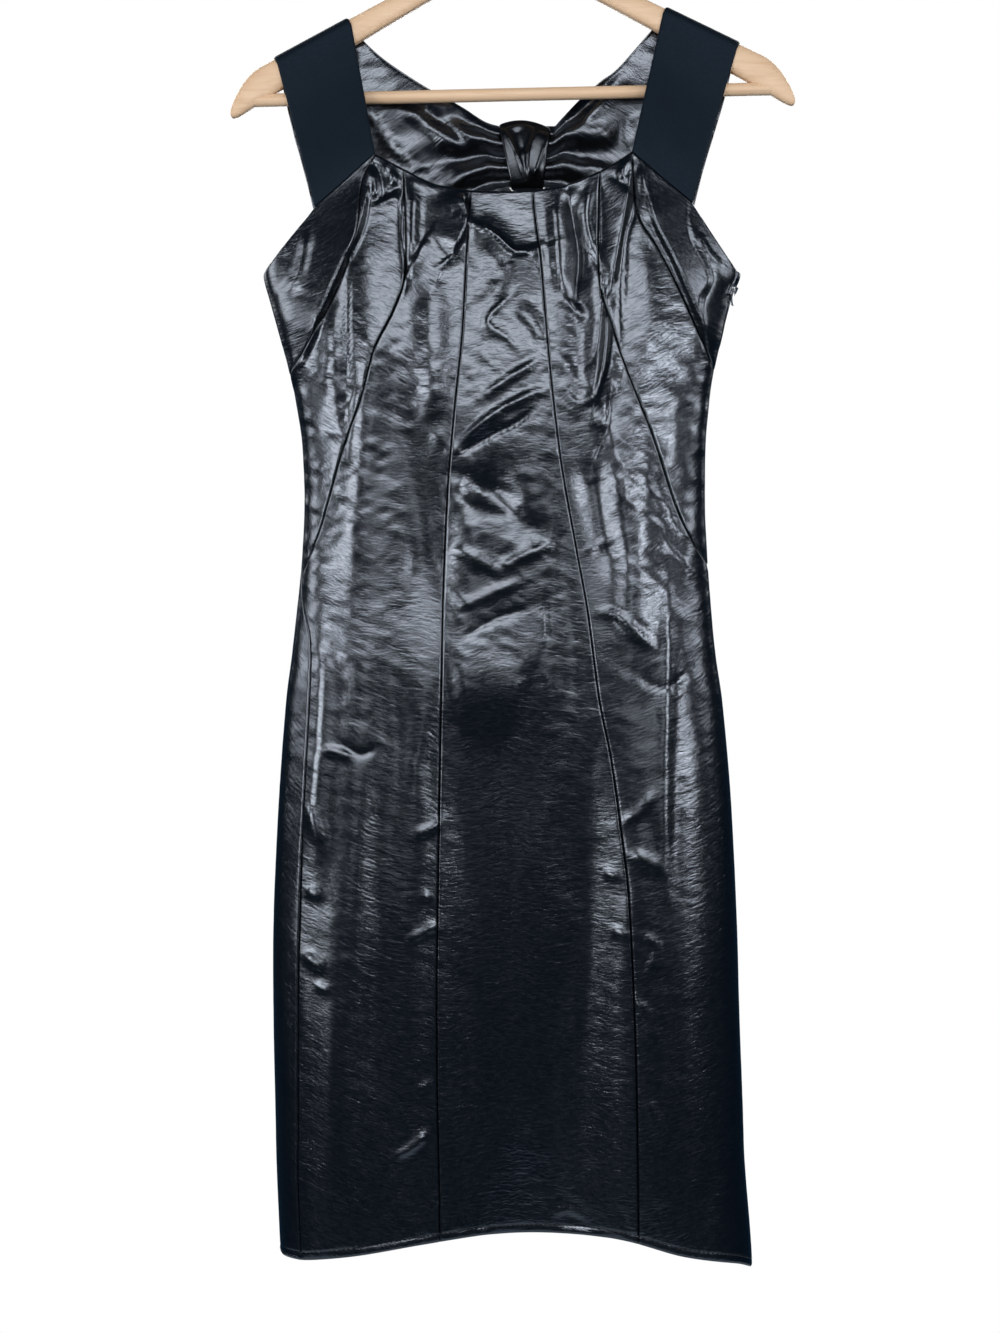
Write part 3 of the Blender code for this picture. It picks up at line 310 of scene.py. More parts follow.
# ---- creases of each side: kind | half width | height out | points x, z
# A ridge or trough is soft, a line is a sharp narrow one, a lap falls off
# steeply on the right of its path and slowly on its left, and a slide deepens
# along its path. A pleat is highest at its path and falls evenly on its right and
# at once on its left, and a swell is a pleat that is soft on its left too.
CREASES = {"front": (
    # under the right strap corner
    ("line", 2.2, -2.2, ((-110, -250), (-101, -247), (-96, -261), (-95, -276))),
    ("ridge", 3.0, 2.6, ((-103, -253), (-101, -266), (-101, -276))),
    ("ridge", 3.0, 2.4, ((-94, -246), (-84, -264))),
    ("line", 2.0, -2.0, ((-90, -246), (-90, -262))),
    ("line", 2.0, -2.4, ((-79, -262), (-96, -273), (-106, -279))),
    ("ridge", 3.2, 1.6, ((-102, -280), (-85, -275), (-84, -284))),
    # armhole crease and the side panel of the right half
    ("line", 2.4, -3.4, ((-121, -322), (-122, -363), (-122, -430), (-124, -474))),
    ("ridge", 9.0, 2.6, ((-133, -350), (-134, -440))),
    ("ridge", 20.0, 3.0, ((-102, -290), (-104, -330), (-108, -372), (-114, -420))),
    ("ridge", 5.0, 2.0, ((-152, -296), (-159, -334), (-174, -346))),
    # right half between princess seam and centre panel
    ("line", 2.6, -3.2, ((-79, -256), (-80, -299), (-77, -336), (-80, -352))),
    ("ridge", 5.0, 2.6, ((-71, -264), (-72, -300), (-72, -322))),
    ("lap", 5.0, 2.4, ((-60, -304), (-69, -322), (-77, -336))),
    ("line", 1.6, 1.3, ((-77, -260), (-51, -270))),
    ("lap", 3.0, 1.6, ((-45, -272), (-32, -284), (-32, -305), (-40, -319), (-56, -330))),
    ("pleat", 34.0, 6.5, ((-36, -266), (-32, -296), (-44, -322))),
    ("slide", 19.0, -5.5, ((-88, -400), (-74, -470), (-64, -540), (-54, -640))),
    ("ridge", 12.0, 3.6, ((-58, -330), (-56, -390), (-54, -452))),
    ("ridge", 14.0, 3.0, ((-94, -350), (-106, -420), (-116, -500), (-118, -570))),
    # centre panel
    ("lap", 5.0, 2.2, ((-28, -296), (-16, -299), (-6, -307), (7, -318), (23, -313))),
    ("trough", 7.0, -1.8, ((-24, -312), (-4, -330), (-14, -356))),
    ("line", 1.6, 0.8, ((-12, -327), (8, -321))),
    ("line", 1.6, 0.8, ((-20, -341), (0, -334))),
    ("line", 1.6, 0.8, ((-27, -350), (-8, -345))),
    ("line", 2.0, 1.6, ((8, -346), (-15, -369), (0, -383), (11, -394))),
    ("trough", 6.0, -1.8, ((6, -356), (22, -372), (26, -390))),
    ("ridge", 3.4, 2.2, ((-39, -466), (-28, -455), (-6, -438), (14, -428), (32, -422))),
    ("line", 2.4, -2.4, ((-38, -472), (-13, -457), (9, -446), (24, -434))),
    ("ridge", 3.4, 1.8, ((-20, -428), (4, -412), (26, -398))),
    ("trough", 12.0, -3.0, ((-36, -488), (-12, -500), (10, -520), (30, -542))),
    ("ridge", 4.0, 1.8, ((-6, -558), (14, -548), (34, -540))),
    ("line", 1.6, -1.2, ((30, -580), (31, -618))),
    ("ridge", 5.0, 1.6, ((-44, -540), (-20, -552), (-6, -560))),
    ("ridge", 4.0, 1.4, ((-40, -590), (-10, -576), (12, -568))),
    ("line", 2.4, -1.6, ((-36, -612), (-8, -596), (20, -588))),
    # left half between centre panel and princess seam
    ("ridge", 6.0, 3.0, ((36, -270), (38, -310), (41, -352))),
    ("line", 3.0, -3.6, ((46, -262), (51, -293), (55, -319), (53, -348), (53, -366))),
    ("line", 1.8, -2.2, ((57, -308), (71, -331), (72, -356), (68, -392), (58, -406))),
    ("ridge", 4.0, 2.4, ((65, -262), (60, -290), (67, -318))),
    ("line", 1.6, -1.8, ((71, -256), (71, -322))),
    ("pleat", 18.0, 5.0, ((95, -250), (90, -280), (83, -319), (76, -353))),
    ("trough", 7.0, -3.2, ((46, -258), (52, -293), (54, -330), (53, -352))),
    ("pleat", 18.0, 3.6, ((74, -350), (75, -377), (72, -407), (66, -427))),
    ("pleat", 16.0, 3.6, ((66, -440), (72, -407), (75, -377), (74, -350))),
    ("ridge", 3.4, 1.6, ((75, -352), (76, -377), (73, -407), (65, -427), (52, -431),
                          (44, -421))),
    ("trough", 9.0, -2.0, ((57, -340), (57, -396), (59, -420))),
    ("ridge", 4.0, 1.8, ((44, -352), (54, -362), (58, -370))),
    ("line", 2.2, -2.0, ((79, -420), (76, -450), (64, -480))),
    ("trough", 12.0, -2.8, ((60, -470), (70, -520), (84, -570))),
    ("line", 2.0, 0.7, ((56, -493), (72, -488), (92, -490))),
    ("line", 2.0, 1.0, ((58, -545), (84, -534))),
    ("ridge", 3.4, 2.0, ((70, -592), (84, -594), (100, -610), (110, -618))),
    # left strap corner, wing and side panel
    ("line", 2.6, -3.2, ((97, -243), (97, -283), (90, -308), (87, -363), (87, -392))),
    ("ridge", 3.0, 2.6, ((92, -240), (86, -262))),
    ("ridge", 3.2, 2.4, ((103, -250), (104, -276), (112, -300))),
    ("line", 2.0, -2.0, ((80, -256), (92, -266), (97, -270))),
    ("ridge", 9.0, 1.2, ((104, -312), (108, -356), (104, -400))),
    ("lap", 5.0, 2.4, ((140, -287), (143, -305), (157, -334), (148, -356), (153, -392))),
    ("ridge", 3.0, 1.6, ((146, -299), (154, -316), (166, -324))),
    # broad hollows and swells
    ("slide", 20.0, -5.5, ((-14, -446), (-18, -480), (-14, -526))),
    ("ridge", 32.0, 5.0, ((-48, -652), (-10, -648), (18, -656))),
    ("pleat", 32.0, 5.0, ((-28, -294), (-10, -304), (8, -318), (28, -312))),
    ("swell", 40.0, 3.0, ((98, -640), (92, -540), (84, -450))),
    ("ridge", 14.0, 2.0, ((94, -430), (96, -480), (99, -540), (102, -610))),
    ("pleat", 40.0, 7.5, ((-106, -254), (-112, -295), (-125, -324), (-138, -353), (-157, -398))),
    ("pleat", 30.0, 6.0, ((158, -396), (143, -356), (128, -322), (113, -292), (104, -254))),
    # the skirt
    ("ridge", 9.0, 3.0, ((-142, -600), (-141, -660), (-146, -727), (-150, -800))),
    ("trough", 20.0, -5.0, ((-84, -560), (-88, -659), (-95, -811), (-94, -1050))),
    ("ridge", 15.0, 1.4, ((-136, -860), (-134, -940), (-136, -1080))),
    ("ridge", 5.0, 1.8, ((122, -552), (122, -621), (120, -735), (123, -811))),
    ("trough", 18.0, -3.6, ((66, -700), (64, -840), (60, -1060))),
    ("ridge", 16.0, 2.4, ((20, -700), (14, -860), (6, -1060))),
    ("ridge", 4.0, 1.8, ((-70, -762), (-60, -757), (-50, -752))),
    ("ridge", 3.0, 1.2, ((-66, -806), (-58, -811))),
    ("ridge", 3.4, 1.6, ((-74, -842), (-62, -834), (-52, -832))),
    ("ridge", 3.4, 1.7, ((-86, -1006), (-72, -998), (-60, -987))),
    ("ridge", 2.6, 0.9, ((-68, -956), (-58, -950))),
    ("ridge", 3.0, 1.4, ((74, -790), (84, -794))),
    ("ridge", 3.0, 1.2, ((80, -834), (92, -838))),
    ("ridge", 5.0, 2.2, ((94, -776), (104, -779), (116, -788))),
    ("ridge", 3.4, 1.6, ((90, -752), (102, -742), (112, -728))),
    ("ridge", 3.0, 1.4, ((100, -836), (114, -846), (108, -868))),
    ("ridge", 2.6, 1.2, ((96, -884), (106, -898), (110, -920))),
    ("ridge", 3.0, 1.3, ((104, -958), (114, -978), (118, -1000))),
    ("ridge", 5.0, 1.8, ((-152, -738), (-146, -752), (-140, -770))),
    ("ridge", 3.4, 1.5, ((-152, -804), (-142, -808))),
    ("ridge", 4.4, 2.0, ((-154, -852), (-146, -858), (-138, -862))),
    ("ridge", 2.6, 1.2, ((-146, -874), (-134, -880))),
    ("line", 2.4, -1.8, ((-128, -690), (-112, -700), (-100, -694))),
    ("ridge", 3.4, 1.8, ((-140, -696), (-118, -702))),
    ("line", 3.0, -1.6, ((100, -640), (120, -650), (140, -636))),
    ("ridge", 3.0, 0.7, ((34, -1056), (46, -1050), (60, -1056))),
    ("line", 2.4, -0.8, ((84, -1040), (92, -1062), (98, -1076))),
    ("ridge", 4.0, 0.6, ((-70, -1066), (-58, -1044), (-46, -1030))),
), "back": (
    ("ridge", 10.0, 2.6, ((-72, -300), (-60, -360), (-52, -430))),
    ("ridge", 10.0, 2.6, ((76, -300), (66, -360), (58, -430))),
    ("line", 2.6, -2.4, ((-10, -262), (-24, -300), (-44, -350))),
    ("line", 2.6, -2.4, ((38, -262), (52, -296), (66, -344))),
    ("trough", 12.0, -3.0, ((-60, -470), (-72, -550), (-86, -640))),
    ("trough", 12.0, -3.0, ((66, -470), (76, -550), (90, -650))),
    ("ridge", 4.0, 1.8, ((-128, -452), (-92, -474), (-44, -466))),
    ("line", 2.4, -1.4, ((-112, -492), (-84, -500), (-58, -512))),
    ("ridge", 4.5, 1.6, ((118, -488), (88, -480), (70, -494))),
    ("line", 2.4, -1.6, ((136, -520), (104, -534), (52, -526))),
    ("ridge", 3.4, 1.4, ((-22, -536), (10, -522), (34, -530))),
    ("trough", 24.0, -6.0, ((-70, -700), (-66, -880), (-64, -1080))),
    ("trough", 24.0, -6.0, ((74, -690), (76, -880), (78, -1090))),
    ("ridge", 12.0, 2.6, ((-124, -640), (-128, -840), (-130, -1070))),
    ("ridge", 12.0, 2.6, ((128, -640), (132, -840), (134, -1080))),
    ("ridge", 3.4, 1.6, ((-40, -620), (-20, -612))),
    ("ridge", 3.4, 1.6, ((30, -740), (46, -732))),
    ("line", 2.4, -1.6, ((-100, -780), (-70, -790), (-50, -782))),
)}
STEEP_SIDE = {"pleat": 2.4, "swell": 12.0}
LAP_SIDES = (0.35, 1.8)
CREASE_REACH = {"pleat": 1.1}    # half widths from the path that a crease is worked out to
TAPER = 0.25                     # height left at a crease's ends, and share that tapers
SLIDE_PEAK = 0.65                # share along a slide where it is deepest
# smooth stretches of the front, free of crush marks: half width | points x, z
SMOOTH_PLACES = (
    (16.0, ((-122, -262), (-134, -310), (-146, -358))),
    (17.0, ((120, -262), (134, -310), (146, -352))),
    (15.0, ((-52, -268), (-52, -314))),
    (13.0, ((-76, -440), (-67, -500), (-60, -560), (-54, -650))),
    (9.0, ((-30, -440), (-8, -470), (20, -478))),
    (12.0, ((-16, -318), (4, -338), (-4, -362))),
    (10.0, ((60, -318), (60, -370), (60, -416))),
    (17.0, ((54, -440), (60, -520), (74, -640))),
    (26.0, ((-6, -650), (0, -760), (0, -1000))),
    (12.0, ((-128, -900), (-130, -1060))),
)
# folds of the drapes towards the knot, seen through the neck: as above
DRAPE_CREASES = (
    ("line", 2.0, 2.0, ((-112, -190), (-98, -212), (-80, -234), (-62, -246))),
    ("ridge", 4.5, 2.4, ((-84, -192), (-62, -206), (-42, -222), (-26, -230))),
    ("line", 2.0, -2.2, ((-70, -188), (-46, -208), (-30, -218), (-8, -222))),
    ("line", 1.8, 2.0, ((-40, -206), (-28, -216), (-14, -222))),
    ("ridge", 4.0, 2.0, ((-96, -238), (-78, -246), (-58, -240))),
    ("ridge", 3.6, 2.2, ((-54, -262), (-34, -246), (-8, -238))),
    ("line", 2.0, -2.4, ((-34, -262), (-14, -246), (6, -238))),
    ("line", 1.8, 1.8, ((-28, -256), (-6, -254), (2, -246))),
    ("line", 2.0, -2.4, ((44, -206), (66, -186), (84, -166))),
    ("ridge", 4.0, 2.4, ((50, -214), (72, -192), (92, -170))),
    ("ridge", 3.4, 2.0, ((60, -236), (76, -240), (88, -246))),
    ("line", 2.0, 2.0, ((40, -234), (62, -236), (78, -250))),
    ("line", 2.0, -2.2, ((36, -226), (58, -232), (74, -246))),
)

# folds across the knot's band
KNOT_CREASES = (
    ("lap", 8.0, 2.4, ((29, -206), (19, -224), (18, -252))),
    ("line", 1.2, 1.6, ((-4, -207), (6, -226), (16, -250))),
    ("line", 1.6, 1.4, ((31, -220), (21, -248))),
    ("trough", 6.0, -2.0, ((6, -206), (13, -230))),
)


class DressSizes(bpy.types.PropertyGroup):
    """Sizes of the cloth and its stitching."""
    thickness: bpy.props.FloatProperty(
        name="Cloth thickness", description="Thickness of the satin with its lining",
        default=0.0008, min=0.0003, max=0.0015, unit="LENGTH")
    spacing: bpy.props.FloatProperty(
        name="Mesh spacing", description="Distance between points of the cloth",
        default=0.0023, min=0.0015, max=0.01, unit="LENGTH")
    seam_depth: bpy.props.FloatProperty(
        name="Seam depth", description="How far a seam's edges roll in",
        default=0.0014, min=0.0, max=0.0015, unit="LENGTH")
    crush: bpy.props.FloatProperty(
        name="Crush", description="Height of the small crush marks of the satin",
        default=0.00036, min=0.0, max=0.002, unit="LENGTH")
    sway: bpy.props.FloatProperty(
        name="Sway", description="Height of the broad uneven waves of the hanging cloth",
        default=0.0014, min=0.0, max=0.006, unit="LENGTH")
    hem_width: bpy.props.FloatProperty(
        name="Hem width", description="Distance of the hem's stitches from its edge",
        default=0.0062, min=0.003, max=0.03, unit="LENGTH")
    stitch: bpy.props.FloatProperty(
        name="Stitch length", description="Length of one stitch",
        default=0.0026, min=0.001, max=0.006, unit="LENGTH")


class DressColours(bpy.types.PropertyGroup):
    """Colours of the dress, its fittings and the hanger."""
    satin: bpy.props.FloatVectorProperty(
        name="Satin", description="Colour of the shiny satin",
        default=(0.067, 0.0735, 0.084), subtype="COLOR", min=0, max=1)
    strap: bpy.props.FloatVectorProperty(
        name="Straps", description="Colour of the dull side used for the straps",
        default=(0.0030, 0.0046, 0.0072), subtype="COLOR", min=0, max=1)
    thread: bpy.props.FloatVectorProperty(
        name="Thread", description="Colour of the stitches",
        default=(0.050, 0.050, 0.056), subtype="COLOR", min=0, max=1)
    wood: bpy.props.FloatVectorProperty(
        name="Wood", description="Colour of the hanger's pale wood",
        default=(0.71, 0.495, 0.32), subtype="COLOR", min=0, max=1)
    grain: bpy.props.FloatVectorProperty(
        name="Grain", description="Colour of the wood's darker grain",
        default=(0.56, 0.355, 0.205), subtype="COLOR", min=0, max=1)
    steel: bpy.props.FloatVectorProperty(
        name="Steel", description="Colour of the hook and the zip's slider",
        default=(0.62, 0.62, 0.64), subtype="COLOR", min=0, max=1)
    floor: bpy.props.FloatVectorProperty(
        name="Floor", description="Colour of the studio floor",
        default=(0.50, 0.56, 0.62), subtype="COLOR", min=0, max=1)


# ---------------------------------------------------------------- curves and tables
def spline(rows, at, column=1):
    """Smooth values of a table's column where its first column has the values given."""
    table = np.array(rows, float)
    if table[0, 0] > table[-1, 0]:
        table = table[::-1]
    keys, values = table[:, 0], table[:, column]
    steps = np.diff(values) / np.diff(keys)
    slopes = np.zeros(len(keys))
    before, after = steps[:-1], steps[1:]
    same = before * after > 0
    slopes[1:-1][same] = 2 * before[same] * after[same] / (before[same] + after[same])
    at = np.asarray(at, float)
    i = np.clip(np.searchsorted(keys, at, side="right") - 1, 0, len(keys) - 2)
    span = keys[i + 1] - keys[i]
    s = np.clip((at - keys[i]) / span, 0, 1)
    a, b = values[i], values[i + 1]
    return (a * (2 * s**3 - 3 * s**2 + 1) + b * (3 * s**2 - 2 * s**3)
            + span * (slopes[i] * (s**3 - 2 * s**2 + s) + slopes[i + 1] * (s**3 - s**2)))


def smoothstep(value):
    share = np.clip(value, 0, 1)
    return share * share * (3 - 2 * share)


def rise(value, start, span, height):
    """From 0 at the start to the height given, a span later."""
    return height * smoothstep((value - start) / span)


def smooth_path(points, steps=14):
    """Fine points of a smooth curve through the points given."""
    p = np.array(points, float)
    padded = np.vstack((p[0], p, p[-1]))
    s = np.arange(steps)[:, None] / steps
    fine = []
    for a, b, c, d in zip(padded, padded[1:], padded[2:], padded[3:]):
        fine.append(0.5 * (2 * b + (c - a) * s + (2 * a - 5 * b + 4 * c - d) * s**2
                           + (3 * b - a - 3 * c + d) * s**3))
    return np.vstack(fine + [p[-1]])


def measured(points):
    """Length of each step of a line, and the distance of each point from its start."""
    steps = np.linalg.norm(np.diff(points, axis=0), axis=1)
    return steps, np.concatenate(([0], np.cumsum(steps)))


def along(points, shares):
    """Places at shares of the length of the smooth curve through the points."""
    fine = smooth_path(points)
    walked = measured(fine)[1]
    walked /= walked[-1]
    return np.stack([np.interp(shares, walked, fine[:, k]) for k in range(fine.shape[1])], -1)


def value_noise(x, y, seed):
    """Smooth random values from -1 to 1, with one random value per unit."""
    columns, rows = NOISE_LATTICE
    lattice = np.random.RandomState(seed).uniform(-1, 1, NOISE_LATTICE)
    i, j = np.floor(x).astype(int), np.floor(y).astype(int)
    s, t = smoothstep(x - i), smoothstep(y - j)
    left, right, top, low = i % columns, (i + 1) % columns, j % rows, (j + 1) % rows
    upper = lattice[left, top] * (1 - s) + lattice[right, top] * s
    lower = lattice[left, low] * (1 - s) + lattice[right, low] * s
    return upper * (1 - t) + lower * t


def waves(size, x, z, seed):
    across, down, height = size
    return height * value_noise(x / across, z / down, seed)


# ---- lines: each is a function that gives places at shares of its length
def curve(points, place=None):
    """Smooth curve through points of x and z, moved by place where one is given."""
    def line(shares):
        found = along(points, shares)
        return place(found) if place else found
    return line


def straight(start, end):
    return lambda shares: start + (end - start) * np.asarray(shares)[:, None]


def flipped(line):
    return lambda shares: line(1 - np.asarray(shares))


def at_share(line, share):
    return line(np.array((share,)))[0]


def chain(*parts):
    """One line out of several: each part is its end share and a line of its own."""
    def line(shares):
        shares = np.asarray(shares, float)
        start, found = 0.0, None
        for end, part in parts:
            inside = shares >= start - 1e-9
            values = part(np.clip((shares - start) / (end - start), 0, 1))
            found = values if found is None else np.where(inside[:, None], values, found)
            start = end
        return found
    return line


def coons(left, right, top, bottom, u, v):
    """Grid between four lines, at the shares u across and v down."""
    l, r, t, b = left(v)[:, None], right(v)[:, None], top(u)[None], bottom(u)[None]
    u, v = u[None, :, None], v[:, None, None]
    (tl, tr), (bl, br) = top(ENDS), bottom(ENDS)
    return (l * (1 - u) + r * u + t * (1 - v) + b * v
            - ((tl * (1 - u) + tr * u) * (1 - v) + (bl * (1 - u) + br * u) * v))


# ---------------------------------------------------------------- shell of the dress
def arm_line(x):
    """Height of the strap's arc centre over the tilted arm, and the lean of the arm."""
    peak_x = -ARM_PEAK_Z * sin(HANGER_TILT)
    peak_z = ARM_PEAK_Z * cos(HANGER_TILT)
    side = np.where(x > peak_x, 1.0, -1.0)
    lean = atan2(ARM_UPPER_SLOPE, 1) - side * HANGER_TILT
    return peak_z - np.tan(lean) * np.abs(x - peak_x) - ARM_THICK / 2 / np.cos(lean), side * lean


def skin(t, z):
    """Points of the shell's middle surface, without its creases."""
    centre, half_width, front_depth, back_depth, hollow = (
        spline(SECTIONS, z, column) for column in range(1, 6))
    turn = np.pi * t / 2
    x = centre + half_width * np.sin(turn)
    bulge = np.abs(np.cos(turn)) ** SECTION_POWER
    hollow = hollow * np.exp(-((t - HOLLOW_CENTRE) / HOLLOW_WIDTH) ** 2)
    is_front = np.cos(turn) >= 0
    depth = np.where(is_front, front_depth * bulge * (1 - hollow), back_depth * bulge)
    close = smoothstep((arm_line(x)[0] - z) / STRAP_REACH)
    depth = STRAP_ROUND + (depth - STRAP_ROUND) * close
    return np.stack((x, np.where(is_front, -depth, depth), z), -1)


def skin_normal(t, z):
    """Outward directions of the shell."""
    across = skin(t + 0.01, z) - skin(t - 0.01, z)
    down = skin(t, z - 1.0) - skin(t, z + 1.0)
    out = np.cross(down, across)
    return out / np.linalg.norm(out, axis=-1, keepdims=True)


def front(places):
    """t and z of places of the front given by x and z."""
    x, z = places[..., 0], places[..., 1]
    share = (x - spline(SECTIONS, z)) / spline(SECTIONS, z, 2)
    return np.stack((np.arcsin(np.clip(share, -1, 1)) * 2 / np.pi, z), -1)


def back(places):
    t = front(places)
    return np.stack((2 - t[..., 0], t[..., 1]), -1)


def hem(t):
    return spline(HEM, np.where(np.asarray(t) >= -1, t, np.asarray(t) + 4))


def hem_between(left, right):
    """The hem from the foot of one line to the foot of another."""
    start, end = at_share(left, 1.0)[0], at_share(right, 1.0)[0]

    def line(shares):
        t = start + (end - start) * shares
        return np.stack((t, hem(t)), -1)
    return line


# ---------------------------------------------------------------- relief of the cloth
def path_distance(points, x, z):
    """Signed distance to a bent line, positive on its right, and the share along it."""
    fine = smooth_path(points, 5)
    steps, walked = measured(fine)
    best = np.full(x.shape, 1e9)
    side, share = np.ones(x.shape), np.zeros(x.shape)
    for k, (a, b) in enumerate(zip(fine, fine[1:])):
        d = b - a
        s = np.clip(((x - a[0]) * d[0] + (z - a[1]) * d[1]) / (d @ d), 0, 1)
        dx, dz = x - a[0] - s * d[0], z - a[1] - s * d[1]
        distance = np.hypot(dx, dz)
        nearer = distance < best
        best = np.where(nearer, distance, best)
        side = np.where(nearer, np.sign(d[0] * dz - d[1] * dx), side)
        share = np.where(nearer, (walked[k] + s * steps[k]) / walked[-1], share)
    return best * -side, share


def crease_section(kind, half_width, d):
    """Share of a crease's height at a signed distance from its path."""
    if kind == "line":
        return np.exp(-np.abs(d) / half_width)
    if kind in STEEP_SIDE:
        falling = np.clip(1 - d / half_width, 0, 1) ** 1.2
        return np.where(d > 0, falling, np.exp(-(d / STEEP_SIDE[kind]) ** 2))
    if kind == "lap":
        half_width = np.where(d > 0, *LAP_SIDES) * half_width
    return np.exp(-(d / half_width) ** 2)


def crease_height(kind, half_width, height, points, x, z):
    """Height of one crease at the places given."""
    reach = CREASE_REACH.get(kind, 5) * half_width + 4
    p = np.array(points, float)
    near = ((x > p[:, 0].min() - reach) & (x < p[:, 0].max() + reach)
            & (z > p[:, 1].min() - reach) & (z < p[:, 1].max() + reach))
    total = np.zeros(x.shape)
    if near.any():
        d, share = path_distance(points, x[near], z[near])
        if kind == "slide":
            taper = (np.clip(share / SLIDE_PEAK, 0, 1)
                     * smoothstep((1 - share) / (1 - SLIDE_PEAK)))
        else:
            taper = smoothstep(share / TAPER) * smoothstep((1 - share) / TAPER)
            taper = TAPER + (1 - TAPER) * taper
        total[near] = height * taper * crease_section(kind, half_width, d)
    return total


def crease_sum(rows, x, z):
    """Height of all the creases of a table at the places given."""
    total = np.zeros(x.shape)
    for kind, half_width, height, points in rows:
        total += crease_height(kind, half_width, height, points, x, z)
    return total


def crush_share(x, z):
    """How much of the front's crush marks shows: all but on the smooth stretches."""
    share = np.ones(x.shape)
    for half_width, points in SMOOTH_PLACES:
        even = crease_height("ridge", half_width, 1.0, points, x, z)
        share = np.minimum(share, 1 - SMOOTH_SHARE * np.clip(SMOOTH_WIDEN * even, 0, 1))
    return share


def relief(side, x, z):
    """Height of the cloth over the shell: creases, broad waves and crush marks."""
    sizes = bpy.context.scene.dress_sizes
    seed = RELIEF_SEED[side]
    total = crease_sum(CREASES[side], x, z)
    bend = waves(BEND, x, z, seed)
    sway = waves(SWAY[0], x + bend, z, seed + 1) + waves(SWAY[1], x + 2 * bend, z, seed + 2)
    rough, calm = 1.0, 1.0
    if side == "front":
        rough = crush_share(x, z)
        calm = (1 - rise(z, *CHEST)) * (1 - rise(np.abs(x), *YOKE_X) * rise(z, *YOKE_Z))
    total += sizes.sway / MM * rough * sway * calm
    ragged = waves(CRUSH[0], x + bend, z + 0.35 * x + bend, seed + 3)
    ragged += waves(CRUSH[1], x - bend, z - 0.4 * x, seed + 4)
    fold = 1 - np.abs(waves(CRUSH_FOLD, x + 2 * bend, z + 0.6 * x, seed + 5))
    ragged += CRUSH_FOLD_HEIGHT * np.clip(fold, 0, 1) ** 3
    waist = CRUSH_LEAST + (1 - CRUSH_LEAST) * np.exp(-((z - WAIST_Z) / WAIST_REACH) ** 2)
    total += sizes.crush / MM * rough * waist * ragged
    return total


def creased(t, z):
    """Middle points, outward directions and relief, which is level at the body's edges."""
    points = skin(t, z)
    facing = np.cos(np.pi * t / 2)
    lift = np.zeros(t.shape)
    for side, mask in (("front", facing >= 0), ("back", facing < 0)):
        if mask.any():
            lift[mask] = relief(side, points[..., 0][mask], points[..., 2][mask])
    level = smoothstep(np.abs(facing) ** SECTION_POWER * LEVEL_EDGE)
    return points, skin_normal(t, z), lift * level


# ---------------------------------------------------------------- making cloth
def add_piece(name, mesh, material, node=None, body="dress", sharp=None):
    """Object of a finished mesh, riding on a body, in place of a node if one is given."""
    mesh.name = name
    mesh.shade_smooth()
    if sharp:
        mesh.set_sharp_from_angle(angle=radians(sharp))
    mesh.materials.clear()
    mesh.materials.append(bpy.data.materials[material])
    thing = bpy.data.objects.new(name, mesh)
    bpy.context.scene.collection.objects.link(thing)
    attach(thing, body)
    if node:
        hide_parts(node)
    return thing


def mesh_of(work):
    """Mesh of a bmesh, which is freed."""
    mesh = bpy.data.meshes.new("piece")
    work.to_mesh(mesh)
    work.free()
    return mesh


def loaded(mesh):
    """Bmesh of a mesh, with its doubles merged."""
    work = bmesh.new()
    work.from_mesh(mesh)
    bmesh.ops.remove_doubles(work, verts=work.verts, dist=1e-6)
    return work


def grid_mesh(points):
    """Mesh of a grid of points, with the column and row of each of its vertices."""
    rows, columns = points.shape[0] - 1, points.shape[1] - 1
    work = bmesh.new()
    bmesh.ops.create_grid(work, x_segments=columns, y_segments=rows, size=1.0)
    mesh = mesh_of(work)
    flat = np.empty(len(mesh.vertices) * 3)
    mesh.vertices.foreach_get("co", flat)
    flat = flat.reshape(-1, 3)
    column = np.rint((flat[:, 0] + 1) / 2 * columns).astype(int)
    row = np.rint((1 - flat[:, 1]) / 2 * rows).astype(int)
    mesh.vertices.foreach_set("co", (points[row, column] * MM).ravel())
    mesh.update()
    return mesh, column, row


def spread(length, spacing, fine_start=True, fine_end=True, hemmed=False):
    """Shares along a length: close together near the ends, then evenly spaced."""
    head = EDGE_STEPS if fine_start else (0.0,)
    last = EDGE_STEPS + (HEM_STEPS if hemmed else ())
    tail = [length - step for step in reversed(last)] if fine_end else [length]
    count = max(1, int(round((tail[0] - head[-1]) / spacing)))
    middle = [head[-1] + (tail[0] - head[-1]) * i / count for i in range(1, count)]
    return np.array([*head, *middle, *tail]) / length


def mesh_spacing():
    return bpy.context.scene.dress_sizes.spacing / MM


def walk(points, axis):
    """Distance of each point of a grid from its first and last one along an axis."""
    steps = np.linalg.norm(np.diff(points, axis=axis), axis=-1)
    pad = [(0, 0), (0, 0)]
    pad[axis] = (1, 0)
    from_start = np.pad(np.cumsum(steps, axis=axis), pad)
    whole = from_start[-1:, :] if axis == 0 else from_start[:, -1:]
    return from_start, whole - from_start


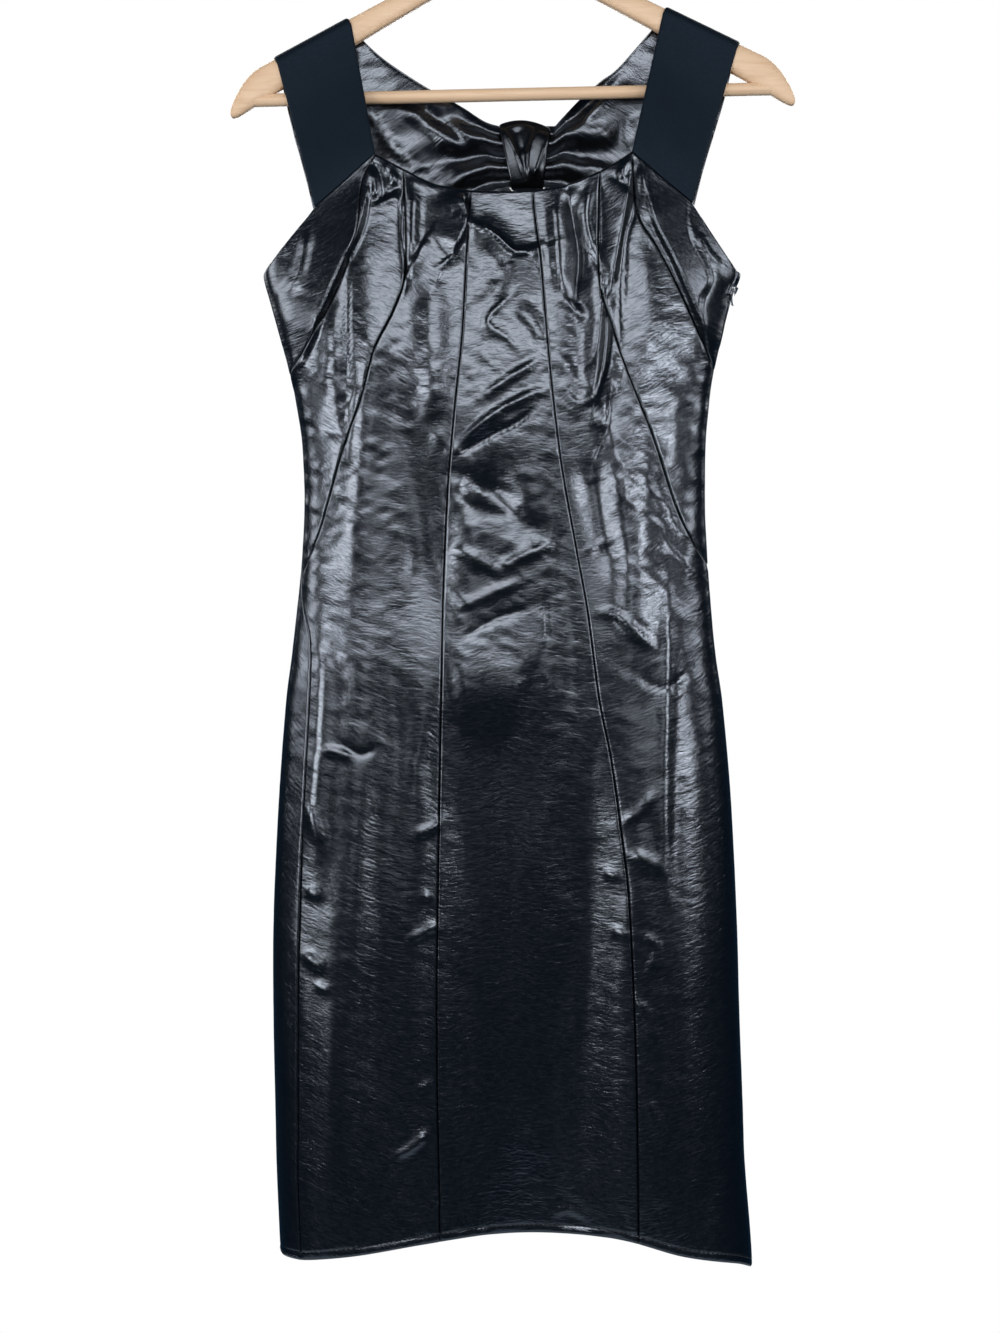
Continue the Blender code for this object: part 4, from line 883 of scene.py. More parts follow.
def cloth_piece(node, points, normals, material="satin"):
    """Cloth in place of a node, from a grid of outer points, with its wall and pattern map."""
    mesh, column, row = grid_mesh(points)
    face = mesh.polygons[len(mesh.polygons) // 2]
    corner = mesh.loops[face.loop_start].vertex_index
    if np.dot(np.array(face.normal), normals[row[corner], column[corner]]) < 0:
        mesh.flip_normals()
    from_left, from_right = walk(points, 1)
    pattern = np.stack(((from_left - from_right) / 2, -walk(points, 0)[0]), -1)
    index = np.empty(len(mesh.loops), int)
    mesh.loops.foreach_get("vertex_index", index)
    layer = mesh.uv_layers.new(name="cloth")
    layer.data.foreach_set("uv", (pattern[row, column][index] * MM).ravel())
    thing = add_piece(f"{node}_cloth", mesh, material, node)
    wall = thing.modifiers.new("Wall", "SOLIDIFY")
    wall.thickness = bpy.context.scene.dress_sizes.thickness
    wall.offset = -1.0
    return thing


def edge_fade(distance):
    """Share of the relief that is left near a free edge."""
    return EDGE_LEFT + (1 - EDGE_LEFT) * smoothstep(distance / EDGE_FLAT)


def rolled(points, lift, seams, edges):
    """Lift with the seam edges rolled in and the free edges turned under."""
    sizes = bpy.context.scene.dress_sizes
    distances = dict(zip(("left", "right", "top", "bottom"), walk(points, 1) + walk(points, 0)))
    for key, distance in distances.items():
        if key in seams:
            lift = lift - sizes.seam_depth / MM * np.exp(-(distance / SEAM_ROLL) ** 2)
        if key in edges:
            lift = lift * edge_fade(distance) - EDGE_TURN * np.exp(-(distance / EDGE_ROLL) ** 2)
            if key == "bottom":
                groove = (distance - sizes.hem_width / MM) / HEM_GROOVE_WIDTH
                lift = lift - HEM_GROOVE * np.exp(-groove ** 2)
    return lift


def sew(node, lines, seams, edges):
    """Panel of satin between four lines of t and z, sewn or free at its sides."""
    wide, long, *size, area = PANELS[node]
    places = coons(*lines, spread(wide, mesh_spacing()),
                   spread(long, mesh_spacing(), hemmed="bottom" in edges))
    points, normals, lift = creased(places[..., 0], places[..., 1])
    lift = rolled(points, lift, seams, edges)
    made = cloth_piece(node, points + normals * (lift + HALF_WALL)[..., None], normals)


class Half:
    """Seam lines of one half of the dress."""

    def __init__(self, suffix):
        self.suffix = suffix
        self.sign = -1 if suffix == "r" else 1
        self.outer_side, self.inner_side = ("left", "right")[::-self.sign]
        self.side = SIDE_SEAM[suffix]
        self.tip_z = self.side[0][0]
        self.yoke_end = YOKE_SEAM[suffix][-1][1]
        self.princess_end = PRINCESS_SEAM[suffix][-1][1]
        self.side_hem = float(hem(self.side[-1][1]))
        self.back_turn = 4 if suffix == "r" else 0
        # lowest place of the drape beside the knot
        self.knot_corner = (KNOT_X + self.sign * (KNOT_FOOT_WIDTH / 2 + KNOT_SHOULDER),
                            KNOT_Z - KNOT_REACH)

    def fitted(self, tables):
        """Line of the half's table, with its last point on the side seam."""
        table = tables[self.suffix]
        z = table[-1][1]
        x = float(skin(spline(self.side, z), np.array(float(z)))[..., 0])
        return curve(table[:-1] + ((x, z),), front)

    def down_side(self, start, end, turn=0):
        def line(shares):
            z = start + (end - start) * shares
            return np.stack((spline(self.side, z) + turn, z), -1)
        return line

    def ordered(self, outer, inner, top, bottom, behind=False):
        """Left, right, top and bottom with t growing along the rows."""
        if (self.sign < 0) != behind:
            return outer, inner, top, bottom
        return inner, outer, flipped(top), flipped(bottom)


def fall(table, place=front):
    """Line down a seam of x and z to the hem."""
    by_height = tuple((z, x) for x, z in table)
    guide = place(np.array((float(spline(by_height, HEM_GUIDE_Z)), HEM_GUIDE_Z)))
    start, end = table[0][1], float(hem(guide[0]))

    def line(shares):
        z = start + (end - start) * shares
        return place(np.stack((spline(by_height, z), z), -1))
    return line


HALVES = (Half("r"), Half("l"))


def front_pieces():
    right, left = (fall(CENTRE_SEAM[half.suffix]) for half in HALVES)
    lines = right, left, curve(NECK_CENTRE, front), hem_between(right, left)
    sew("front_center", lines, ("left", "right"), ("top", "bottom"))
    for half in HALVES:
        s = half.suffix
        yoke, princess = half.fitted(YOKE_SEAM), half.fitted(PRINCESS_SEAM)
        inner = fall(CENTRE_SEAM[s])
        outer = chain((PRINCESS_SHARE, princess),
                      (1.0, half.down_side(half.princess_end, half.side_hem)))
        lines = half.ordered(outer, inner, curve(NECK_MID[s], front), hem_between(outer, inner))
        sew(f"front_mid_{s}", lines, ("left", "right"), ("top", "bottom"))

        outer = chain((YOKE_SHARE, yoke),
                      (1.0, half.down_side(half.yoke_end, half.princess_end)))
        point = straight(at_share(outer, SIDE_POINT), at_share(princess, 1.0))
        lines = half.ordered(lambda shares: outer(np.asarray(shares) * SIDE_POINT), princess,
                             curve(NECK_SIDE[s], front), point)
        sew(f"front_side_{s}", lines, ("left", "right"), ("top",))

        lines = half.ordered(half.fitted(WING_EDGE), yoke, curve(STRAP_JOIN[s], front),
                             half.down_side(half.tip_z, half.yoke_end))
        sew(f"front_yoke_{s}", lines, ("top", "bottom", half.inner_side), (half.outer_side,))


def arm_edge(half):
    """Line over the arm from the strap's outer edge to its inner one, as x and z."""
    def line(shares):
        x = half.sign * (STRAP_OUTER_X + (STRAP_INNER_X - STRAP_OUTER_X) * np.asarray(shares))
        return np.stack((x, arm_line(x)[0]), -1)
    return line


def over_arm(top, facing, points, normals, steps=12):
    """Points and normals with rows before them that roll the cloth over the arm."""
    x, z = top[:, 0], top[:, 1]
    lean = arm_line(x)[1]
    up = np.stack((np.sin(lean), np.zeros_like(x), np.cos(lean)), -1)
    middle = np.stack((x, np.zeros_like(x), z), -1)
    angle = pi / 2 * (1 - np.arange(steps) / steps)[:, None, None]
    roll = up * np.sin(angle) + np.array((0, facing, 0)) * np.cos(angle)
    return (np.concatenate((middle + roll * STRAP_ROUND, points)),
            np.concatenate((roll, normals)))


def strap_pieces():
    wide, long, *size, area = PANELS["strap"]
    u, v = spread(wide, mesh_spacing()), spread(long, mesh_spacing(), False)
    for half in HALVES:
        s = half.suffix
        top, join = arm_edge(half), curve(STRAP_JOIN[s])
        (a, b), (c, d) = top(ENDS), join(ENDS)
        lines = half.ordered(straight(a, c), straight(b, d), top, join)
        flat = coons(*lines, u, v)
        places = front(flat)
        t, z = places[..., 0], places[..., 1]
        points, normals = over_arm(flat[0], -1, skin(t, z), skin_normal(t, z))
        x, z = points[..., 0], points[..., 2]
        hanging = smoothstep((arm_line(x)[0] - z) / STRAP_TIGHT)
        lift = waves(STRAP_WAVES[0], x + 0.3 * z, z, STRAP_SEED) * hanging
        lift += waves(STRAP_WAVES[1], x, z, STRAP_SEED + 1) * hanging
        lift = rolled(points, lift, ("top", "bottom"), ("left", "right"))
        made = cloth_piece(f"strap_{s}", points + normals * (lift + HALF_WALL)[..., None],
                           normals, "strap")


def back_pieces():
    for half in HALVES:
        s = half.suffix
        stops = (half.tip_z, half.yoke_end, half.princess_end, half.side_hem)
        side = chain(*((share, half.down_side(start, end, half.back_turn))
                       for share, start, end in zip((*BACK_SIDE_SHARES, 1.0), stops, stops[1:])))
        centre = fall(BACK_SEAM, back)
        wing = tuple(back(np.array(BACK_WING[s], float)))[::-1]
        around = (np.array((1.0, half.tip_z)),) if half.sign > 0 else ()
        notch = (half.knot_corner[0] - half.sign * KNOT_NOTCH, BACK_SEAM[0][1])
        corners = np.array((DRAPE_SEAM[s][-1], half.knot_corner, notch, BACK_SEAM[0]))

        def under(shares):
            return back(np.stack([np.interp(np.asarray(shares) * 3, range(4), corners[:, k])
                                  for k in (0, 1)], -1))
        wing_share, drape_share = BACK_TOP_SHARES
        top = chain((wing_share, curve((at_share(side, 0.0),) + around + wing)),
                    (drape_share, curve(DRAPE_SEAM[s], back)), (1.0, under))
        lines = half.ordered(side, centre, top, hem_between(side, centre), behind=True)
        sew(f"back_{s}", lines, ("left", "right", "top"), ("bottom",))


def knot_depth():
    """y of the knot's middle."""
    return float(skin(*back(np.array((KNOT_X, KNOT_Z))))[1])


def drape_pieces():
    spacing = mesh_spacing() * DRAPE_FINER
    knot_y = knot_depth()
    wide, long, *size, area = PANELS["back_drape"]
    u, v = spread(wide, spacing), spread(long, spacing, False, False)
    share = np.clip(v / DRAPE_FREE, 0, 1)[:, None]
    settle, pull = rise(share, *DRAPE_SETTLE), rise(share, *DRAPE_PULL)
    across = 2 * u[None] - 1
    in_knot = across * KNOT_REACH / (KNOT_HALF_HEIGHT - HALF_WALL)
    room = (KNOT_HALF_DEPTH - HALF_WALL) * np.sqrt(np.clip(1 - in_knot ** 2, 0, 1))
    height = np.maximum(0.0, room - (HALF_WALL + DRAPE_LIFT))
    sway = 0.9 * value_noise(3.2 * u[None] + 0 * share, 4 * share + 0 * u[None], DRAPE_SEED)
    gathers = height * np.sin(GATHERS * pi * u[None] + sway * (1 - settle)) * pull
    for half in HALVES:
        s = half.suffix
        shoulder = flipped(arm_edge(half))
        first, last = (tuple(end) for end in shoulder(ENDS))
        high = (KNOT_X + half.sign * (KNOT_TOP_WIDTH / 2 + 1), KNOT_Z + KNOT_REACH)
        deep = half.knot_corner
        end_x = KNOT_X + half.sign * DRAPE_GAP / 2
        armhole_share, seam_share = DRAPE_LOW_SHARES
        low = chain((armhole_share, curve((last,) + BACK_ARMHOLE[s])),
                    (seam_share, curve(DRAPE_SEAM[s])),
                    (DRAPE_FREE, curve((DRAPE_SEAM[s][-1], deep))),
                    (1.0, curve((deep, (end_x, deep[1])))))
        neck = chain((DRAPE_FREE, curve((first,) + BACK_NECK[s] + (high,))),
                     (1.0, curve((high, (end_x, high[1])))))

        def knot_end(shares):
            z = KNOT_Z + KNOT_REACH * (1 - 2 * np.asarray(shares))
            return np.stack((np.full(z.shape, end_x), z), -1)
        flat = coons(neck, low, shoulder, knot_end, u, v)
        places = back(flat)
        points = skin(places[..., 0], places[..., 1])
        normals = skin_normal(places[..., 0], places[..., 1])
        points[..., 1] += (knot_y - points[..., 1]) * settle
        points[..., 1] += gathers
        x, z = flat[..., 0], flat[..., 1]
        bend = waves(DRAPE_WAVES[0], x, z, DRAPE_SEED + 1)
        lift = waves(DRAPE_WAVES[1], x + bend, z - bend, DRAPE_SEED + 2)
        lift = lift - crease_sum(DRAPE_CREASES, x, z)
        lift += waves(DRAPE_WAVES[2], x - bend, z + bend, DRAPE_SEED + 3)
        lift *= 1 - rise(share, *DRAPE_CALM)
        points, normals = over_arm(flat[0], 1, points, normals)
        lift = np.pad(lift, ((len(points) - len(lift), 0), (0, 0)))
        lift = rolled(points, lift, ("top",), ("left",))
        made = cloth_piece(f"back_drape_{s}", points + normals * (lift + DRAPE_LIFT)[..., None],
                           normals)


def knot_piece():
    """Band of cloth wrapped once round the ends of the drapes, with its folds."""
    rows, columns = 120, 40
    angle = 2 * np.pi * np.arange(rows + 1)[:, None] / rows
    across = np.arange(columns + 1)[None] / columns - 0.5
    swell = (1 + np.cos(angle)) / 2
    width = KNOT_FOOT_WIDTH + (KNOT_TOP_WIDTH - KNOT_FOOT_WIDTH) * swell
    normal = np.stack(np.broadcast_arrays(
        np.zeros_like(across), -np.sin(angle) / KNOT_HALF_DEPTH,
        np.cos(angle) / KNOT_HALF_HEIGHT + 0 * across), -1)
    normal = normal / np.linalg.norm(normal, axis=-1, keepdims=True)
    width = width + KNOT_FLARE * (1 - swell)
    middle = np.stack(np.broadcast_arrays(
        KNOT_X + across * width - KNOT_LEAN * swell,
        knot_depth() - KNOT_HALF_DEPTH * np.sin(angle) + 0 * across,
        KNOT_Z + KNOT_HALF_HEIGHT * np.cos(angle)
        + swell**4 * (KNOT_CROWN - KNOT_CROWN_CURVE * (across + KNOT_CROWN_SHIFT) ** 2)), -1)
    lift = crease_sum(KNOT_CREASES, middle[..., 0], middle[..., 2])
    lift *= smoothstep(np.sin(angle) * 3)
    lift -= EDGE_TURN * np.exp(-((0.5 - np.abs(across)) * width / EDGE_ROLL) ** 2)
    # the knot's satin is made at half the dress's colour, as painted shade of the band deep in
    # the back neck
    made = cloth_piece("knot", middle + normal * (lift + HALF_WALL)[..., None], normal,
                       "shaded_smooth_satin")
    work = loaded(made.data)
    work.to_mesh(made.data)
    work.free()


# ---------------------------------------------------------------- stitches and zip
def bead(work, centre, turn, radii):
    """Small rounded body with a centre and three radii in millimetres."""
    place = Matrix.Translation(Vector(centre) * MM)
    shape = Matrix.Diagonal((*(radius * MM for radius in radii), 1))
    bmesh.ops.create_icosphere(work, subdivisions=1, radius=1.0, matrix=place @ turn @ shape)


def thread_row(work, points, normals, length, gap, radius):
    """Stitches along a line of points, lying on the surface."""
    walked = measured(points)[1]
    at = gap
    while at + length < walked[-1] - gap:
        start, end = (np.array([np.interp(w, walked, points[:, k]) for k in range(3)])
                      for w in (at, at + length))
        out = np.array([np.interp(at, walked, normals[:, k]) for k in range(3)])
        direction = Vector(end - start)
        turn = direction.to_track_quat("X", "Z").to_matrix().to_4x4()
        bead(work, (start + end) / 2 + out * THREAD_LIFT, turn,
             (direction.length * 0.52, radius, radius))
        at += length + gap


def hem_stitches():
    sizes = bpy.context.scene.dress_sizes
    work = bmesh.new()
    height = sizes.hem_width / MM
    right, left = (half.side[-1][1] for half in HALVES)
    for start, end in ((right, left), (left, right + 4)):
        t = np.linspace(start, end, 400)
        points, normals, lift = creased(t, hem(t) + height)
        thread_row(work, points + normals * (lift * edge_fade(height) + HALF_WALL)[:, None],
                   normals, sizes.stitch / MM, STITCH_GAP, THREAD_RADIUS)
    add_piece("hem_stitches", mesh_of(work), "thread")


def zip_teeth():
    """Teeth of the side zip, below its slider, in two rows that mesh."""
    z = np.arange(ZIP_TOP_Z, ZIP_END_Z, -TOOTH_PITCH)
    t = spline(HALVES[1].side, z)
    points, normals = skin(t, z), skin_normal(t, z)
    ahead = np.gradient(points, axis=0)
    ahead /= np.linalg.norm(ahead, axis=1, keepdims=True)
    sideways = np.cross(normals, ahead)
    work = bmesh.new()
    for k, (p, n, a, w) in enumerate(zip(points, normals, ahead, sideways)):
        if z[k] <= ZIP_Z - SLIDER_LENGTH:
            turn = Matrix((Vector(w), Vector(a), Vector(n))).transposed().to_4x4()
            offset = TOOTH_OFFSET if k % 2 else -TOOTH_OFFSET
            bead(work, p + n * HALF_WALL + w * offset, turn, TOOTH_RADII)
    add_piece("zip_teeth", mesh_of(work), "zip_coil")


def polished(name, width, body):
    """Finished copy of a node, with its edges rounded."""
    work = loaded(bpy.data.objects[name].data)
    bmesh.ops.dissolve_limit(work, angle_limit=radians(1), verts=work.verts, edges=work.edges)
    sharp = [e for e in work.edges if e.is_manifold and e.calc_face_angle(0) > radians(40)]
    bmesh.ops.bevel(work, geom=sharp, offset=width, offset_type="OFFSET", affect="EDGES",
                    segments=3, profile=0.5, material=-1, clamp_overlap=True)
    add_piece(f"{name}_finished", mesh_of(work), "steel", name, body, SHARP_ANGLE)


# ---------------------------------------------------------------- hanger
def arm_edges(x):
    """Upper and lower edge of the arms, and how far into the rounded tip they are."""
    upper = ARM_PEAK_Z - ARM_UPPER_SLOPE * np.sqrt(x * x + ARM_UPPER_ROUND**2)
    lower = ARM_LOWER_Z - ARM_LOWER_SLOPE * np.sqrt(x * x + ARM_LOWER_ROUND**2)
    tip = np.clip((np.abs(x) - ARM_TIP_START) / (ARM_TIP_X - ARM_TIP_START), 0, 1)
    half = (upper - lower) / 2 * np.sqrt(1 - tip * tip)
    middle = (upper + lower) / 2 - ARM_TIP_DROP * tip * tip
    return middle + half, middle - half, tip


def tilted(points):
    """Points turned with the hanger about the hook."""
    c, s = cos(HANGER_TILT), sin(HANGER_TILT)
    x, z = points[..., 0], points[..., 2]
    return np.stack((x * c - z * s, points[..., 1], x * s + z * c), -1)


def hanger_arms():
    tip_length = ARM_TIP_X - ARM_TIP_START
    ends = ARM_TIP_X - tip_length * (1 - np.cos(np.linspace(0.12, pi / 2, 12)))
    half_x = np.concatenate((np.linspace(0, ARM_TIP_START - 2, 60), ends[::-1]))
    x = np.concatenate((-half_x[::-1], half_x[1:]))[:, None]
    upper, lower, tip = arm_edges(x)
    sides = 40
    angle = 2 * np.pi * np.arange(sides + 1) / sides
    around_z = np.abs(np.sin(angle)) ** ARM_POWER_Z * np.sign(np.sin(angle))
    around_y = np.abs(np.cos(angle)) ** ARM_POWER_Y * np.sign(np.cos(angle))
    thick = ARM_THICK / 2 * (1 - ARM_TIP_THIN * tip**2)
    points = np.stack(np.broadcast_arrays(
        x, thick * around_y, (upper + lower) / 2 + (upper - lower) / 2 * around_z), -1)
    work = loaded(grid_mesh(tilted(points))[0])
    bmesh.ops.holes_fill(work, edges=[e for e in work.edges if e.is_boundary], sides=0)
    bmesh.ops.recalc_face_normals(work, faces=work.faces)
    add_piece("hanger_arms_wood", mesh_of(work), "wood", "hanger_arms",
              sharp=SHARP_ANGLE)


def hanger_bar():
    work = bmesh.new()
    turn = Matrix.Rotation(-HANGER_TILT, 4, "Y")
    place = turn @ Matrix.Translation((0, 0, BAR_Z * MM)) @ Matrix.Rotation(pi / 2, 4, "Y")
    bmesh.ops.create_cone(work, cap_ends=True, segments=40, radius1=BAR_RADIUS * MM,
                          radius2=BAR_RADIUS * MM, depth=2 * BAR_END_X * MM, matrix=place)
    rims = [e for e in work.edges if e.calc_face_angle(0) > radians(60)]
    bmesh.ops.bevel(work, geom=rims, offset=0.0006, affect="EDGES", segments=3,
                    profile=0.5, material=-1)
    add_piece("hanger_bar_wood", mesh_of(work), "wood", "hanger_bar",
              sharp=SHARP_ANGLE)


def hanger_hook():
    """Bent wire: a stem out of the wood, then the hook's open ring."""
    crown = float(arm_edges(np.array(0.0))[0])
    ring = HOOK_RADIUS + WIRE_RADIUS
    path = [(x, crown + height) for x, height in STEM]
    for degrees in range(HOOK_START, HOOK_END, HOOK_STEP):
        angle = radians(degrees)
        path.append((ring * cos(angle), -HOOK_RADIUS + ring * sin(angle)))
    fine = along(path, np.linspace(0, 1, 90))
    fine = tilted(np.stack((fine[:, 0], np.zeros(len(fine)), fine[:, 1]), -1))
    bend = bpy.data.curves.new("hook_path", "CURVE")
    bend.dimensions = "3D"
    bend.bevel_depth = WIRE_RADIUS * MM
    bend.bevel_resolution = 5
    bend.use_fill_caps = True
    wire = bend.splines.new("POLY")
    wire.points.add(len(fine) - 1)
    for point, place in zip(wire.points, fine):
        point.co = (*(place * MM), 1)
    source = bpy.data.objects.new("hook_path", bend)
    bpy.context.scene.collection.objects.link(source)
    graph = bpy.context.evaluated_depsgraph_get()
    mesh = bpy.data.meshes.new_from_object(source.evaluated_get(graph))
    bpy.data.objects.remove(source, do_unlink=True)
    add_piece("hanger_hook_wire", mesh, "steel", "hanger_hook")


# ---------------------------------------------------------------- finishes
class Field:
    """A shader value that varies over a surface, with ordinary arithmetic."""

    def __init__(self, tree, socket):
        self.tree, self.socket = tree, socket

    def __add__(self, other):
        return self.tree.add("ShaderNodeMath", {"operation": "ADD"}, {0: self, 1: other})

    def __mul__(self, other):
        return self.tree.add("ShaderNodeMath", {"operation": "MULTIPLY"}, {0: self, 1: other})

    __radd__ = __add__
    __rmul__ = __mul__

    def clamp(self, low, high, start=0.0, end=1.0):
        return self.tree.add("ShaderNodeMapRange", {"interpolation_type": "SMOOTHSTEP"},
                             {0: self, 1: low, 2: high, 3: start, 4: end})


class Finish:
    """A material whose nodes are added by one method."""

    def __init__(self, name, on_cloth=False):
        old = bpy.data.materials.get(name)
        if old:
            bpy.data.materials.remove(old)
        self.on_cloth = on_cloth
        self.material = bpy.data.materials.new(name)
        self.material.use_nodes = True
        self.nodes = self.material.node_tree.nodes
        self.links = self.material.node_tree.links
        self.shader = self.nodes["Principled BSDF"]

    def add(self, kind, settings=None, inputs=None, output=0):
        """Output of a new node with its settings and the values or links of its sockets."""
        node = self.nodes.new(kind)
        for key, value in (settings or {}).items():
            setattr(node, key, value)
        for key, value in (inputs or {}).items():
            self.put(node.inputs[key], value)
        return Field(self, node.outputs[output])

    def put(self, socket, value):
        if isinstance(value, Field):
            self.links.new(value.socket, socket)
        else:
            socket.default_value = value

    def set(self, **values):
        """Sockets of the shader by name, with _ for a space."""
        for key, value in values.items():
            self.put(self.shader.inputs[key.replace("_", " ")], value)

    def noise(self, scale, detail=2.0, roughness=0.5, distortion=0.0):
        """Noise with a scale of its own along each axis, on the cloth or in the object."""
        if self.on_cloth:
            place = self.add("ShaderNodeUVMap", {"uv_map": "cloth"})
        else:
            place = self.add("ShaderNodeTexCoord", output="Object")
        place = self.add("ShaderNodeMapping", None, {"Vector": place, "Scale": scale})
        return self.add("ShaderNodeTexNoise", None, {
            "Vector": place, "Scale": 1.0, "Detail": detail,
            "Roughness": roughness, "Distortion": distortion}, "Fac")

    def blend(self, factor, first, second):
        return self.add("ShaderNodeMix", {"data_type": "RGBA"},
                        {0: factor, 6: (*first, 1), 7: (*second, 1)}, 2)

    def bump(self, height, distance, normal=None):
        inputs = {"Height": height, "Distance": distance, "Strength": 1.0}
        if normal is not None:
            inputs["Normal"] = normal
        return self.add("ShaderNodeBump", None, inputs)


def shaded(colour, factor):
    return tuple(c * factor for c in colour)


def satin_finish(name, satin, crush=1.0):
    """Crushed satin: dark, with a cool sheen broken into short level strokes."""
    cloth = Finish(name, on_cloth=True)
    broad = cloth.noise((62, 210, 1), 2.0, 0.5, 0.8)
    small = cloth.noise((170, 540, 1), 2.0, 0.6, 0.6)
    weave = cloth.noise((700, 2600, 1), 1.0)
    patches = cloth.noise((9, 6, 1), 3.0, 0.5, 0.6)
    shape = cloth.bump(broad * patches.clamp(0.35, 0.62, 0.3, 1.15), 0.00026 * crush)
    shape = cloth.bump(small, 0.00016 * crush, shape)
    cloth.set(
        Base_Color=cloth.blend(cloth.noise((18, 30, 1), 3.0),
                               shaded(satin, 0.85), shaded(satin, 1.15)),
        Roughness=small.clamp(0.25, 0.75, 0.18, 0.27),
        Metallic=0.97,
        Normal=cloth.bump(weave, 0.00002, shape))


def strap_finish(strap):
    """Dull wrong side of the satin, smooth with a faint rib."""
    cloth = Finish("strap", on_cloth=True)
    rib = cloth.noise((260, 900, 1))
    cloth.set(
        Base_Color=cloth.blend(cloth.noise((26, 26, 1), 3.0),
                               shaded(strap, 0.8), shaded(strap, 1.25)),
        Roughness=rib.clamp(0.3, 0.7, 0.55, 0.70),
        Normal=cloth.bump(rib, 0.00010),
        Specular_IOR_Level=0.25,
        Specular_Tint=(0.45, 0.70, 1.0, 1))


def wood_finish(pale, dark):
    """Pale wood with a long grain, broader figure and fine pores."""
    wood = Finish("wood")
    grain = wood.noise((9, 260, 120), 4.0, 0.6, 1.6)
    figure = wood.noise((3, 30, 36), 3.0, 0.5, 2.5)
    pores = wood.noise((60, 1500, 1300))
    wood.set(
        Base_Color=wood.blend(grain.clamp(0.45, 0.75) * 0.55 + figure.clamp(0.4, 0.7) * 0.35,
                              pale, dark),
        Roughness=pores.clamp(0.3, 0.7, 0.38, 0.55),
        Normal=wood.bump(pores, 0.00006, wood.bump(grain, 0.00010)))


def steel_finish(colour):
    """Plated steel, rubbed and a little dull in places."""
    steel = Finish("steel")
    rub = steel.noise((900, 900, 160))
    dull = steel.noise((70, 70, 70), 3.0)
    steel.set(
        Base_Color=steel.blend(dull, shaded(colour, 0.86), tuple(colour)),
        Roughness=dull.clamp(0.3, 0.7, 0.18, 0.32), Metallic=1.0,
        Normal=steel.bump(rub, 0.00002))


def thread_finish(name, colour):
    """Twisted thread, with painted glints: patches of it are made much brighter, standing in for
    stitches that catch the light.
    """
    thread = Finish(name)
    twist = thread.noise((1800, 1800, 1800))
    painted_glints = thread.noise((120, 120, 40), 3.0)
    thread.set(
        # painted glints: patches of the colour lifted from 0.6 to 3.6 times the thread's colour
        Base_Color=thread.blend(painted_glints.clamp(0.50, 0.66), shaded(colour, 0.6),
                                shaded(colour, 3.6)),
        Roughness=twist.clamp(0.3, 0.7, 0.35, 0.55),
        Normal=thread.bump(twist, 0.00008))


# ---------------------------------------------------------------- stage
def studio_world():
    """White paper behind the dress and a faint blue fill on it."""
    world = bpy.data.worlds.new("Studio")
    bpy.context.scene.world = world
    world.use_nodes = True
    nodes, links = world.node_tree.nodes, world.node_tree.links
    nodes.clear()
    out = nodes.new("ShaderNodeOutputWorld")
    mix = nodes.new("ShaderNodeMixShader")
    ray = nodes.new("ShaderNodeLightPath")
    links.new(ray.outputs["Is Camera Ray"], mix.inputs[0])
    for socket, (colour, strength) in enumerate((FILL, PAPER), 1):
        light = nodes.new("ShaderNodeBackground")
        light.inputs["Color"].default_value = colour
        light.inputs["Strength"].default_value = strength
        links.new(light.outputs[0], mix.inputs[socket])
    links.new(mix.outputs[0], out.inputs[0])


def studio_floor():
    work = bmesh.new()
    bmesh.ops.create_circle(work, cap_ends=True, segments=96, radius=FLOOR_RADIUS,
                            matrix=Matrix.Translation((0, 0, FLOOR_Z)))
    mesh = mesh_of(work)
    finish = Finish("floor")
    tint = tuple(bpy.context.scene.dress_colours.floor)
    finish.set(Base_Color=finish.blend(finish.noise((8, 8, 8)), shaded(tint, 0.98), tint),
               Roughness=0.8)
    mesh.materials.append(finish.material)
    floor = bpy.data.objects.new("floor", mesh)
    bpy.context.scene.collection.objects.link(floor)


def softbox(name, azimuth, elevation, width, height, power):
    """Large soft lamp that looks at the middle of the dress."""
    turn, rise = radians(azimuth), radians(elevation)
    data = bpy.data.lights.new(name, "AREA")
    data.shape = "RECTANGLE"
    data.size, data.size_y, data.energy = width, height, power
    lamp = bpy.data.objects.new(name, data)
    lamp.location = (LAMP_DISTANCE * sin(turn) * cos(rise),
                     -LAMP_DISTANCE * cos(turn) * cos(rise),
                     LAMP_AIM[2] + LAMP_DISTANCE * sin(rise))
    look = Vector(LAMP_AIM) - lamp.location
    lamp.rotation_euler = look.to_track_quat("-Z", "Y").to_euler()
    lamp.visible_camera = False
    bpy.context.scene.collection.objects.link(lamp)


def studio_camera():
    scene = bpy.context.scene
    camera = bpy.data.cameras.new("Camera")
    camera.lens, camera.sensor_width = LENS, 36.0
    eye = bpy.data.objects.new("Camera", camera)
    eye.location = EYE
    eye.rotation_euler = (pi / 2, 0, 0)
    scene.collection.objects.link(eye)
    scene.camera = eye
    scene.view_settings.view_transform = "Standard"
    scene.view_settings.look = "None"


# ---------------------------------------------------------------- operators
class DressOperator:
    """Shared parts of the operators."""
    bl_options = {"REGISTER", "UNDO"}

    def execute(self, context):
        self.build(context)
        return {"FINISHED"}


class DRESS_OT_finishes(DressOperator, bpy.types.Operator):
    """Make the satin, strap, wood, steel and thread materials"""
    bl_idname = "dress.finishes"
    bl_label = "Materials"

    def build(self, context):
        colours = context.scene.dress_colours
        satin_finish("satin", colours.satin)
        # the knot's satin: smoother, and at half the satin's colour as painted shade of the knot
        # in the back neck
        satin_finish("shaded_smooth_satin", shaded(colours.satin, 0.5), crush=0.2)
        strap_finish(colours.strap)
        wood_finish(colours.wood, colours.grain)
        steel_finish(colours.steel)
        thread_finish("thread", colours.thread)
        thread_finish("zip_coil", shaded(colours.thread, 0.4))


class DRESS_OT_front(DressOperator, bpy.types.Operator):
    """Make the front panels, side panels and yokes"""
    bl_idname = "dress.front"
    bl_label = "Front panels"

    def build(self, context):
        front_pieces()


